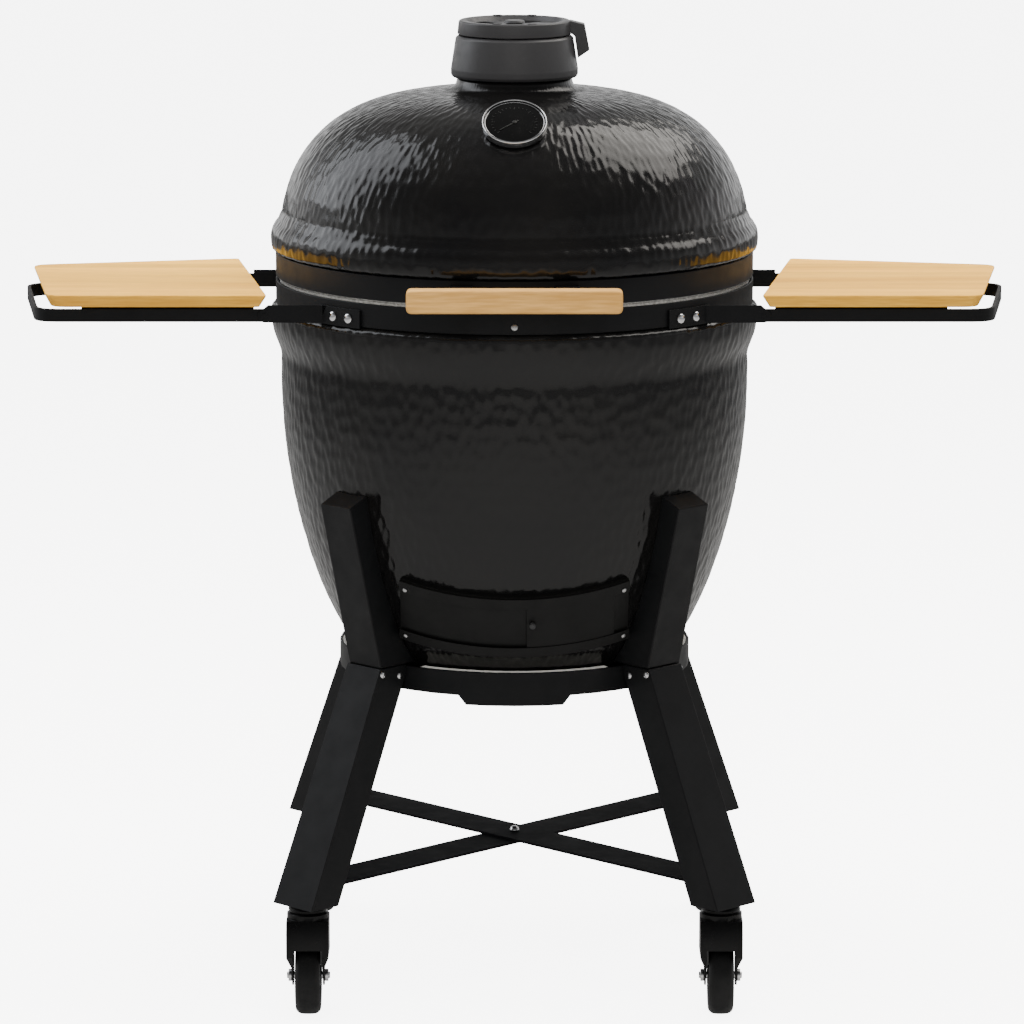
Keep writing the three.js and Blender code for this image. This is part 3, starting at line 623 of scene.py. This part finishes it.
def build_lid():
    """The lid's ceramic: rim bulge, crease, dome and neck, hollow with a bored neck."""
    low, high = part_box("lid_dome")
    bulge = smooth_line([(BAND_SEAT + 0.0004, 0.8755), (0.2872, 0.8775), (0.2895, 0.884),
                         (0.2893, 0.896), (0.2868, 0.904), (0.2808, 0.9115)], 24)
    crease = [(0.2797, 0.9135), (0.2796, 0.9165)]
    dome = dome_line(0, NECK_RADIUS + 0.008, 90)
    dome = [point for point in dome if point[1] > 0.9185 and point[0] > NECK_RADIUS + 0.014]
    neck = smooth_line([(NECK_RADIUS + 0.009, 1.0655), (NECK_RADIUS + 0.005, 1.0678),
                        (NECK_RADIUS + 0.002, 1.0716), (NECK_RADIUS + 0.0004, 1.0765),
                        (NECK_RADIUS, high.z - 0.001)], 12)
    outside = [(BAND_SEAT, low.z), (BAND_SEAT, 0.8752), *bulge, *crease, *dome, *neck]
    inside = [(NECK_RADIUS - 0.002, high.z), (NECK_BORE, high.z), (NECK_BORE, 1.042),
              *reversed(dome_line(WALL, NECK_BORE + 0.008, 12)), (BAND_SEAT - WALL, low.z)]
    hammered_shell("lid_ceramic", outside, inside, "lid", "lid_dome", 760, 3, (0.02, 0.012))


def build_bowl():
    """The bowl's ceramic: foot, belly, the bulge under the band, and the hollow with its floor."""
    low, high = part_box("bowl")
    wall = smooth_line(BOWL_STATIONS[1:], 90)
    bulge = smooth_line([(0.278, 0.7505), (0.2788, 0.757), (0.2818, 0.7655), (0.2852, 0.7745),
                         (0.2882, 0.785), (0.2896, 0.800), (0.2888, 0.8085),
                         (BAND_SEAT + 0.0006, 0.8125)], 30)
    outside = [BOWL_STATIONS[0], *wall[:-1], *bulge, (BAND_SEAT, 0.8135), (BAND_SEAT, high.z - 0.0015)]
    inner = smooth_line([(0.258, high.z), (0.253, 0.740), (0.249, 0.663), (0.237, 0.580),
                         (0.214, 0.500), (0.190, 0.447), (0.150, low.z + BOWL_FLOOR)], 14)
    inside = [(BAND_SEAT - 0.002, high.z), *inner, (0.0001, low.z + BOWL_FLOOR), (0.0001, low.z)]
    hammered_shell("bowl_ceramic", outside, inside, STAND, "bowl", 680, 11, (0.02, 0.03))


# -------- bands, gaskets, handle

def band_outline(low, high, inner, outer):
    """A flat ring's section with eased corners."""
    return rounded([(inner, low), (outer, low), (outer, high), (inner, high)], 0.0012, 4)


def build_bands():
    """The steel straps and the felt gaskets of lid and bowl."""
    for name, body in (("lid_band", "lid"), ("base_band", STAND)):
        low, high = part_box(name)
        ring = revolve(band_outline(low.z, high.z, 0.281, high.x), 200)
        make(f"{name}_strap", ring, COAT, body, (name,))
    for name, body in (("lid_gasket", "lid"), ("base_gasket", STAND)):
        low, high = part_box(name)
        ring = revolve(band_outline(low.z, high.z, 0.262, high.x), 200)
        make(f"{name}_felt", ring, FELT, body, (name,))


def build_handle():
    """The wooden handle, plain, and its two brackets."""
    low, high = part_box("lid_handle")
    corners = [(low.x, low.z), (high.x, low.z), (high.x, high.z), (low.x, high.z)]
    outline = rounded(corners, 0.007, 8)
    bar = moved(prism(outline, 0, high.y - low.y), Matrix.Translation((0, high.y, 0)) @
                Matrix.Rotation(math.pi / 2, 4, "X"))
    make("handle_bar", bar, HANDLE_WOOD, "lid", ("lid_handle",), bevel=0.0026)
    for side in SIDES:
        coated(f"handle_bracket_{side}", bevel=0.0007)


def build_thermometer():
    """Bezel and stem, black face, and a faint plain dial without lettering."""
    seat = Matrix.Translation(GAUGE_SEAT) @ Matrix.Rotation(math.pi / 2 - GAUGE_RISE, 4, "X")
    bezel = rounded([(0.0360, 0.0060), (0.0360, 0.0116), (0.0366, 0.0123), (0.0371, 0.0122),
                     (0.0375, 0.0112), (0.0375, 0.0040), (0.0350, 0.0008), (0.0300, 0.0008),
                     (0.0300, 0.0040)], 0.0007, 4)
    rim = rounded([(0.0336, 0.0080), (0.0345, 0.0080), (0.0345, 0.0104), (0.0336, 0.0104)], 0.0003, 3)
    stem = [(0, -0.088), (0.0016, -0.088), (0.003, -0.084), (0.003, 0.0006), (0.012, 0.0006),
            (0.012, 0.0040), (0, 0.0040)]
    metal = merged([revolve(bezel, 96), revolve(rim, 96), revolve(stem, 32, closed=False)])
    make("thermometer_bezel", moved(metal, seat), CHROME, "lid", ("thermometer",))
    glass = [(0, 0.0042), (0.0361, 0.0042), (0.0361, 0.0088), (0.0330, 0.0092), (0, 0.0101)]
    face = revolve(glass, 96, closed=False)
    make("thermometer_face", moved(face, seat), DIAL, "lid")
    ticks = []
    for i in range(TICK_COUNT):
        angle = math.radians(FIRST_TICK + TICK_STEP * i)
        start = 0.0225 if i % 4 == 0 else 0.0245
        end = 0.0268
        mark = prism([(-0.0003, start), (0.0003, start), (0.0003, end), (-0.0003, end)], 0.0093, 0.00985)
        ticks.append(moved(mark, Matrix.Rotation(angle, 4, "Z")))
    pointer = [(-0.0011, -0.006), (0.0011, -0.006), (0.0004, 0.0215), (-0.0004, 0.0215)]
    needle_turn = Matrix.Rotation(math.radians(NEEDLE_ANGLE), 4, "Z")
    ticks.append(moved(prism(pointer, 0.0099, 0.0104), needle_turn))
    boss = [(0, 0.0099), (0.0026, 0.0099), (0.0026, 0.0108), (0.0018, 0.0112), (0, 0.0112)]
    ticks.append(revolve(boss, 24, closed=False))
    make("thermometer_marks", moved(merged(ticks), seat), PRINT, "lid")


# -------- top vent

def vent_windows(low, high, turn):
    """The four openings as cutters, turned by an angle."""
    windows = []
    for i in range(4):
        start = 90 * i + VENT_WINDOW["start"] + turn
        end = start + VENT_WINDOW["sweep"]
        outer = arc(VENT_WINDOW["outer"], start, end, 14)
        inner = arc(VENT_WINDOW["inner"], end, start, 8)
        windows.append(prism(rounded(outer + inner, 0.0015, 2), low, high))
    return windows


def build_top_vent():
    """The collar, and the turning cap with its tab, lugs and pivot bolt."""
    base = rounded([(0.044, 1.060), (0.0497, 1.060), (0.0497, 1.0803), (0.0735, 1.0803),
                    (0.0753, 1.0835), (0.0753, 1.0900), (0.0696, 1.1265), (0.0660, 1.1295),
                    (0.0075, 1.1295), (0.0075, 1.1245), (0.0610, 1.1245), (0.0660, 1.0900),
                    (0.0440, 1.0860)], 0.0009, 3)
    shape = bored(revolve(base, 120), vent_windows(1.120, 1.135, 0))
    make("vent_collar", shape, CAST, "lid", ("vent_base",), smooth=30)
    disc = rounded([(0.0075, 1.1310), (0.0676, 1.1310), (0.0661, 1.1456), (0.0646, 1.1470),
                    (0.0580, 1.1470), (0.0540, 1.1415), (0.0120, 1.1415), (0.0075, 1.1430)], 0.0007, 3)
    cap = bored(revolve(disc, 120), vent_windows(1.125, 1.150, 45))
    make("vent_disc", cap, CAST, "vent_cap", ("vent_cap",), smooth=30)
    arm = [(0.0640, 1.1320), (0.0645, 1.1462), (0.0660, 1.1466), (0.0830, 1.1425), (0.0888, 1.1122),
           (0.0748, 1.1025), (0.0711, 1.1284), (0.0682, 1.1308)]
    tab = moved(prism(arm, -0.011, 0.011), Matrix.Rotation(math.pi / 2, 4, "X"))
    make("vent_tab", tab, CAST, "vent_cap", bevel=0.0012)
    lugs = []
    foot = rounded([(-0.003, -0.005), (0.003, -0.005), (0.003, 0.005), (-0.003, 0.005)], 0.001, 2)
    for angle in np.radians((70, 110, 250, 290)):
        place_at = Matrix.Rotation(angle, 4, "Z") @ Matrix.Translation((0.060, 0, 1.1455))
        lugs.append(moved(prism(foot, 0, 0.0022), place_at))
    make("vent_lugs", merged(lugs), CAST, "vent_cap", bevel=0.0005)
    pivot = rounded([(0, 1.1180), (0.010, 1.1180), (0.010, 1.1242), (0.007, 1.1242), (0.007, 1.1434),
                     (0.0128, 1.1434), (0.0110, 1.1465), (0, 1.1468)], 0.0008, 3, closed=False)
    make("vent_bolt", revolve(pivot, 40, closed=False), CAST, "lid", ("vent_pivot",))


# -------- draft vent

VENT_AXES = Matrix((
    (1, 0, 0),
    (0, -math.sin(VENT_TILT), -math.cos(VENT_TILT)),
    (0, math.cos(VENT_TILT), -math.sin(VENT_TILT)),
)).to_4x4()
VENT_AXES.translation = VENT_CENTRE


def bent(inner, outer, middle, half, low, high, steps=40):
    """A sheet bent round the draft vent's cylinder; angles in degrees, positive to the right."""
    angles = np.radians(np.linspace(middle - half, middle + half, steps))
    line = [(outer * math.sin(a), outer * math.cos(a) - VENT_RADIUS) for a in angles]
    line += [(inner * math.sin(a), inner * math.cos(a) - VENT_RADIUS) for a in reversed(angles)]
    lying = Matrix(((1, 0, 0, 0), (0, 0, 1, 0), (0, 1, 0, 0), (0, 0, 0, 1)))
    return moved(moved(prism(line, low, high), lying), VENT_AXES)


def build_draft_vent():
    """The plate with its opening and two rails, the sliding door with its knob, and the screen."""
    plate = bored(bent(**DRAFT_PLATE), [bent(**DRAFT_OPENING)])
    make("draft_plate", plate, SHEET, STAND, ("draft_frame",), bevel=0.0007)
    for name, edge in (("upper", 1), ("lower", -1)):
        strips = []
        for strip in (RAIL_LIP, RAIL_WEB):
            low, high = sorted((edge * strip["start"], edge * RAIL_EDGE))
            strips.append(bent(strip["inner"], strip["outer"], 0, RAIL_HALF, low, high))
        make(f"draft_rail_{name}", merged(strips), SHEET, STAND, bevel=0.0002)
    door = bent(**DRAFT_DOOR, steps=20)
    make("draft_slide", door, SHEET, "draft_door", ("draft_door",), bevel=0.0006)
    knob = rounded([(0, 0.001), (0.0024, 0.001), (0.0024, 0.005), (0.0038, 0.0058), (0.0038, 0.0078),
                    (0.0030, 0.0088), (0, 0.0090)], 0.0005, 3, closed=False)
    seat = VENT_AXES @ Matrix.Translation((0.021, 0.006, 0))
    make("draft_knob", moved(revolve(knob, 28, closed=False), seat), CAST, "draft_door")
    from_cad("ember_screen", STEEL, bevel=0.0)


# -------- bolts

def bolt_head(radius, tall):
    """A domed carriage bolt head standing on Z = 0."""
    rise = np.radians(np.linspace(0, 84, 8))
    dome = [(radius * math.cos(a), tall * 0.25 + tall * 0.75 * math.sin(a)) for a in rise]
    return revolve([(0, -0.0005), (radius, -0.0005), *dome, (0, tall)], 28, closed=False)


def bolts(name, body, places, material=STEEL):
    """Bolt heads at (point, direction, radius), made as one piece riding on a body."""
    heads = []
    for point, direction, radius in places:
        turn = Vector((0, 0, 1)).rotation_difference(Vector(direction)).to_matrix().to_4x4()
        heads.append(moved(bolt_head(radius, radius * 0.55), Matrix.Translation(Vector(point)) @ turn))
    make(name, merged(heads), material, body)


def on_band(azimuths, height, face, radius):
    """Bolt places round a band: directions in degrees, one height, and how far out the heads sit."""
    places = []
    for azimuth in azimuths:
        a = math.radians(azimuth)
        direction = Vector((math.cos(a), math.sin(a), 0))
        places.append((direction * face + Vector((0, 0, height)), direction, radius))
    return places


def on_draft_plate():
    """Bolt places in the four corners of the draft plate."""
    places = []
    for azimuth, up in ((-29.9, 0.031), (29.9, 0.031), (-29.9, -0.035), (29.9, -0.035)):
        a = math.radians(azimuth)
        face = RAIL_LIP["outer"]
        point = VENT_AXES @ Vector((face * math.sin(a), up, face * math.cos(a) - VENT_RADIUS))
        places.append((point, VENT_AXES.to_3x3() @ Vector((math.sin(a), 0, math.cos(a))), SMALL_HEAD))
    return places


def on_stand():
    """Bolt places on each leg: four through the knee, two through the end of a brace."""
    places = []
    for turn in (45, 135, 225, 315):
        a = math.radians(turn)
        along, across = Vector((math.cos(a), math.sin(a), 0)), Vector((-math.sin(a), math.cos(a), 0))
        for side in (-1, 1):
            for reach, height in KNEE_BOLTS:
                point = along * reach + across * side * KNEE_SIDE + Vector((0, 0, height))
                places.append((point, across * side, LEG_HEAD))
        top = Vector((0, 0, UPPER_BRACE_TOP if turn in (135, 315) else LOWER_BRACE_TOP))
        for side in (-1, 1):
            point = along * BRACE_REACH + across * side * BRACE_SIDE + top
            places.append((point, (0, 0, 1), BRACE_HEAD))
    return places


def build_bolts():
    """Bolt heads, which the CAD part leaves out; each group rides on what it is screwed to."""
    front = on_band((270,), BASE_BAND_BOLTS, BAND_FACE, BAND_HEAD)
    brackets = on_band(BRACKET_AZIMUTHS, BASE_BAND_BOLTS, STRAP_FACE, BRACKET_HEAD)
    handle = [(point, (0, -1, 0), BAND_HEAD) for point in HANDLE_BOLTS]
    hinge_base = on_band((80, 86, 94, 100), HINGE_BASE_BOLTS, STRAP_FACE, HINGE_HEAD)
    hinge_arm = on_band((84, 96), HINGE_ARM_BOLTS, STRAP_FACE, HINGE_HEAD)
    bolts("draft_bolts", STAND, on_draft_plate())
    bolts("base_band_bolt", STAND, front)
    bolts("table_bracket_bolts", STAND, brackets, CHROME)
    bolts("handle_bolts", "lid", handle)
    bolts("hinge_base_bolts", STAND, hinge_base)
    bolts("hinge_arm_bolts", "lid", hinge_arm)
    bolts("stand_bolts", STAND, on_stand(), CHROME)


# -------- hinge

def coil(hinge):
    """The wire of the spring wound round the hinge axis, as vertices and faces."""
    sides, steps, wire = COIL["sides"], COIL["steps"], COIL["wire"]
    count = COIL["turns"] * steps + 1
    vertices, faces = [], []
    for i in range(count):
        a = 2 * math.pi * i / steps
        x = COIL["start"] + COIL["length"] * i / (count - 1)
        y, z = hinge.y + COIL["radius"] * math.cos(a), hinge.z + COIL["radius"] * math.sin(a)
        centre = Vector((x, y, z))
        outwards = Vector((0, math.cos(a), math.sin(a)))
        for k in range(sides):
            b = 2 * math.pi * k / sides
            along = Vector((wire * math.sin(b), 0, 0))
            vertices.append(centre + outwards * wire * math.cos(b) + along)
    for i in range(count - 1):
        for k in range(sides):
            m = (k + 1) % sides
            faces.append((i * sides + k, i * sides + m, (i + 1) * sides + m, (i + 1) * sides + k))
    faces.append(tuple(range(sides)))
    faces.append(tuple(reversed(range((count - 1) * sides, count * sides))))
    return vertices, faces


def build_hinge():
    """The rear hinge: two brackets, the pin and the coil spring, which stays with the bowl."""
    hinge = Vector(JOINTS["lid_hinge"]["pos_m"])
    coated("hinge_base", bevel=0.0007)
    coated("hinge_arm", bevel=0.0007)
    low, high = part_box("hinge_pin")
    pin = rod((low.x, hinge.y, hinge.z), (high.x, hinge.y, hinge.z), PIN_RADIUS, 32)
    make("hinge_rod", pin, CHROME, STAND, ("hinge_pin",))
    make("hinge_coil", coil(hinge), STEEL, STAND, ("hinge_spring",), smooth=80)


# -------- side tables

def build_tables():
    """The two side tables: frame, board, cleat and both brackets."""
    for side in SIDES:
        coated(f"table_frame_{side}", bevel=0.0008)
        from_cad(f"table_board_{side}", BOARD, bevel=0.0007)
        coated(f"table_rail_{side}", bevel=0.0006)
        for end in ("front", "rear"):
            coated(f"table_bracket_{end}_{side}", bevel=0.0006)


# -------- stand and casters

def build_stand():
    """Legs, kettle ring with its felt strips made pale as painted light for the bright gap under the
    kettle's foot, and the two braces with their bolt.
    """
    for corner in CORNERS:
        coated(f"upper_leg_{corner}", bevel=0.004)
        coated(f"lower_leg_{corner}", bevel=0.0022)
    coated("stand_ring", bevel=0.0006)
    low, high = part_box("stand_ring")
    strips = []
    for middle in (0, 90, 180, 270):
        start, end = middle - GAP_LIGHT_STRIP["half"], middle + GAP_LIGHT_STRIP["half"]
        outer = arc(GAP_LIGHT_STRIP["outer"], start, end, 40)
        inner = arc(GAP_LIGHT_STRIP["inner"], start, end, 40)
        outline = outer + inner[::-1]
        strips.append(prism(outline, high.z - GAP_LIGHT_STRIP["low"], high.z - GAP_LIGHT_STRIP["high"]))
    # Pale felt strips: painted light, the bright line of backdrop seen between the kettle's foot and the
    # stand ring.
    make("felt_painted_gap_light", merged(strips), FELT_PAINTED_GAP_LIGHT, STAND, bevel=0.0006)
    from_cad("brace_upper", BRACE_COAT, bevel=0.0007)
    from_cad("brace_lower", BRACE_COAT, bevel=0.0007)
    low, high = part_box("brace_bolt")
    head = rounded([(0, low.z), (0.008, low.z), (0.008, 0.1559), (0.004, 0.1559), (0.004, 0.1628),
                    (0.006, 0.1628), (0.006, 0.1650), (0.0046, 0.1676), (0.0024, 0.1690), (0, high.z)],
                   0.0006, 3, closed=False)
    make("brace_centre_bolt", revolve(head, 40, closed=False), CHROME, STAND, ("brace_bolt",))


def build_casters():
    """Four casters: fork with its bearing race, and a wheel of tyre, hub, spokes and axle."""
    tread = rounded([(0.033, -0.0145), (0.0405, -0.015), (0.0452, -0.0105), (0.0460, -0.004),
                     (0.0460, 0.004), (0.0452, 0.0105), (0.0405, 0.015), (0.033, 0.0145)], 0.0028, 5)
    hub = rounded([(0.0050, -0.015), (0.0120, -0.015), (0.0140, -0.0098), (0.0305, -0.0098),
                   (0.0325, -0.0140), (0.0335, -0.0140), (0.0335, 0.0140), (0.0325, 0.0140),
                   (0.0305, 0.0098), (0.0140, 0.0098), (0.0120, 0.015), (0.0050, 0.015)], 0.001, 3)
    rib = prism([(-0.0012, 0.0125), (0.0012, 0.0125), (0.0012, 0.0315), (-0.0012, 0.0315)],
                -0.0128, 0.0128)
    race = rounded([(0.0150, 0.1272), (0.0226, 0.1272), (0.0230, 0.1290), (0.0212, 0.1326),
                    (0.0150, 0.1326)], 0.0006, 3)
    for corner in CORNERS:
        from_cad(f"caster_fork_{corner}", FORK, bevel=0.0007, smooth=40)
        x, y, z = JOINTS[f"wheel_spin_{corner}"]["pos_m"]
        axis = Matrix.Translation((x, y, z)) @ Matrix.Rotation(math.pi / 2, 4, "Y")
        body = f"wheel_{corner}"
        wheel = (f"caster_wheel_{corner}",)
        make(f"tyre_{corner}", moved(revolve(tread, 96), axis), TYRE, body, wheel)
        make(f"hub_{corner}", moved(revolve(hub, 64), axis), HUB, body)
        spokes = []
        for i in range(6):
            spokes.append(moved(rib, axis @ Matrix.Rotation(math.radians(60 * i), 4, "Z")))
        make(f"spokes_{corner}", merged(spokes), HUB, body, bevel=0.0004)
        from_cad(f"caster_axle_{corner}", CHROME, bevel=0.0006)
        stem = Vector(JOINTS[f"caster_swivel_{corner}"]["pos_m"])
        bearing = moved(revolve(race, 48), Matrix.Translation((stem.x, stem.y, 0)))
        make(f"race_{corner}", bearing, FORK, f"swivel_{corner}")


# -------- fire side

def build_inside():
    """Fire box with its mouth and air holes, fire ring, and both grates."""
    pot = rounded([(0.120, 0.4345), (0.147, 0.4345), (0.178, 0.453), (0.200, 0.490), (0.222, 0.560),
                   (0.231, 0.640), (0.209, 0.640), (0.200, 0.566), (0.176, 0.500), (0.166, 0.498),
                   (0.160, 0.460), (0.120, 0.456)], 0.003, 3)
    mouth = prism([(-0.070, -0.260), (0.070, -0.260), (0.070, -0.100), (-0.070, -0.100)], 0.457, 0.497)
    holes = []
    for azimuth in (0, 40, 90, 140, 220, 320):
        a = math.radians(azimuth)
        holes.append(rod((0, 0, 0.470), (0.26 * math.cos(a), 0.26 * math.sin(a), 0.490), 0.011, 24))
    shape = bored(revolve(pot, 96), [mouth, *holes])
    make("fire_pot", shape, CLAY, STAND, ("fire_box",))
    collar = rounded([(0.210, 0.6404), (0.232, 0.6404), (0.240, 0.720), (0.243, 0.798), (0.223, 0.798),
                      (0.219, 0.720)], 0.003, 3)
    make("fire_collar", revolve(collar, 96), CLAY, STAND, ("fire_ring",))
    from_cad("charcoal_grate", IRON, bevel=0.0008)
    make("cooking_grid", cooking_grid(), STEEL, STAND, ("cooking_grate",), smooth=60)


def cooking_grid():
    """The cooking grate's rim, its bars from front to back, and two cross bars under them."""
    low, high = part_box("cooking_grate")
    wire, cross = GRATE["rim"], GRATE["cross_at"]
    radius, middle = high.x - wire, (low.z + high.z) / 2
    angles = np.radians(np.arange(0, 360, 30))
    bars = [revolve([(radius + wire * math.cos(a), middle + wire * math.sin(a)) for a in angles], 120)]
    for i in range(-GRATE["bars_each_side"], GRATE["bars_each_side"] + 1):
        x = i * GRATE["pitch"]
        half = math.sqrt(radius ** 2 - x * x)
        bars.append(rod((x, -half, middle), (x, half, middle), GRATE["bar"], 12))
    for y in (-cross, cross):
        half = math.sqrt(radius ** 2 - y * y)
        under = middle - 0.0022
        bars.append(rod((-half, y, under), (half, y, under), GRATE["cross"], 12))
    return merged(bars)


# -------- studio

# Floor: its own light and its paleness, as the camera sees them and as the grill sees them.
FLOOR_GLOW, FLOOR_SHINE = 6.5, 0.2
FLOOR_PALE, FLOOR_BOUNCE = 0.9, 0.3

# Air: brightness as the camera sees it, and as the grill sees it on each side. The back adds to the
# sides, and the top is a share of the level low down. One level goes over into the next between two
# directions, told by the Y part of a ray (Z for the top).
AIR_SEEN = 7.5
AIR_FRONT, AIR_SIDE, AIR_BACK, AIR_TOP = 0.4, 0.78, 0.75, 0.24
FRONT_TO_SIDE, SIDE_TO_BACK, LOW_TO_TOP = (-0.6, 0.1), (0.0, 0.9), (0.05, 0.5)

KETTLE_MIDDLE = (0, 0, 0.95)
GRILL_MIDDLE = (0, 0, 0.8)


def lamp(name, place_at, aim, size, power, color, mirrored=True):
    """A rectangular lamp; a lamp that isn't mirrored gives no highlights."""
    light = bpy.data.lights.new(name, "AREA")
    light.shape = "RECTANGLE"
    light.size, light.size_y = size
    light.energy = power
    light.color = color
    lamp_object = new_object(name, light)
    lamp_object.visible_glossy = mirrored
    lamp_object.location = place_at
    lamp_object.rotation_euler = (Vector(aim) - Vector(place_at)).to_track_quat("-Z", "Y").to_euler()


def sweep_floor():
    """The floor: near white to the camera, darker as a reflector so that undersides stay dark."""
    mesh = bpy.data.meshes.new("studio_floor")
    mesh.from_pydata([(-30, -30, 0), (30, -30, 0), (30, 30, 0), (-30, 30, 0)], [], [(0, 1, 2, 3)])
    floor = new_object("studio_floor", mesh)
    pale, shader = new_material("studio_pale", (FLOOR_PALE,) * 3, 0.95, specular=0.0)
    seen = node(pale, "LightPath").outputs["Is Camera Ray"]
    glow = node(pale, "Mix", {0: seen, 2: FLOOR_SHINE, 3: FLOOR_GLOW}).outputs[0]
    shader.inputs["Emission Color"].default_value = (1, 1, 1, 1)
    drive(pale, glow, shader, "Emission Strength")
    tone = ramp(pale, seen, [(0.0, (FLOOR_BOUNCE,) * 3), (1.0, (FLOOR_PALE,) * 3)])
    drive(pale, tone, shader, "Base Color")
    floor.data.materials.append(pale)


def studio_air():
    """The air round the grill: white to the camera, brightest low down behind the grill."""
    world = bpy.data.worlds.new("studio_air")
    world.use_nodes = True
    background = world.node_tree.nodes["Background"]
    background.inputs["Color"].default_value = (1, 1, 1, 1)
    direction = node(world, "TexCoord").outputs["Generated"]
    parts = node(world, "SeparateXYZ", {"Vector": direction})
    back = graded(world, parts.outputs["Y"], *SIDE_TO_BACK, 0.0, AIR_BACK)
    sides = graded(world, parts.outputs["Y"], *FRONT_TO_SIDE, AIR_FRONT, AIR_SIDE)
    level = node(world, "Math", {0: back, 1: sides}, operation="ADD").outputs["Value"]
    fall = graded(world, parts.outputs["Z"], *LOW_TO_TOP, 1.0, AIR_TOP)
    ambient = node(world, "Math", {0: level, 1: fall}, operation="MULTIPLY").outputs["Value"]
    seen = node(world, "LightPath").outputs["Is Camera Ray"]
    strength = node(world, "Mix", {0: seen, 2: ambient, 3: AIR_SEEN}).outputs[0]
    world.node_tree.links.new(strength, background.inputs["Strength"])
    bpy.context.scene.world = world


def build_studio():
    """Floor, air, two softboxes that show in the glaze, and two fills that don't."""
    sweep_floor()
    studio_air()
    lamp("softbox_right", (1.7, 0.9, 3.3), KETTLE_MIDDLE, size=(2.6, 2.2), power=78,
         color=(1.0, 0.96, 0.90))
    lamp("softbox_left", (-2.2, 0.6, 2.5), KETTLE_MIDDLE, size=(1.8, 2.6), power=46,
         color=(0.92, 0.95, 1.0))
    lamp("front_fill", (0, -4.5, 3.0), GRILL_MIDDLE, size=(3.0, 3.0), power=200,
         color=(1.0, 0.96, 0.9), mirrored=False)
    lamp("top_fill", (0, -0.4, 4.0), GRILL_MIDDLE, size=(2.5, 2.5), power=190,
         color=(1.0, 0.97, 0.92), mirrored=False)


def build_camera():
    """The camera of the photo: a long lens in front, looking slightly down."""
    camera = bpy.data.cameras.new("camera")
    camera.lens = CAMERA["lens"]
    camera.sensor_width = CAMERA["sensor"]
    camera.shift_x = CAMERA["shift"]
    camera.clip_end = 60
    camera_object = new_object("camera", camera)
    camera_object.location = CAMERA["place"]
    camera_object.rotation_euler = (math.radians(90 - CAMERA["looks_down"]), 0, 0)
    bpy.context.scene.camera = camera_object


build_camera()
build_studio()
build_lid()
build_bowl()
build_bands()
build_handle()
build_thermometer()
build_top_vent()
build_draft_vent()
build_bolts()
build_hinge()
build_tables()
build_stand()
build_casters()
build_inside()
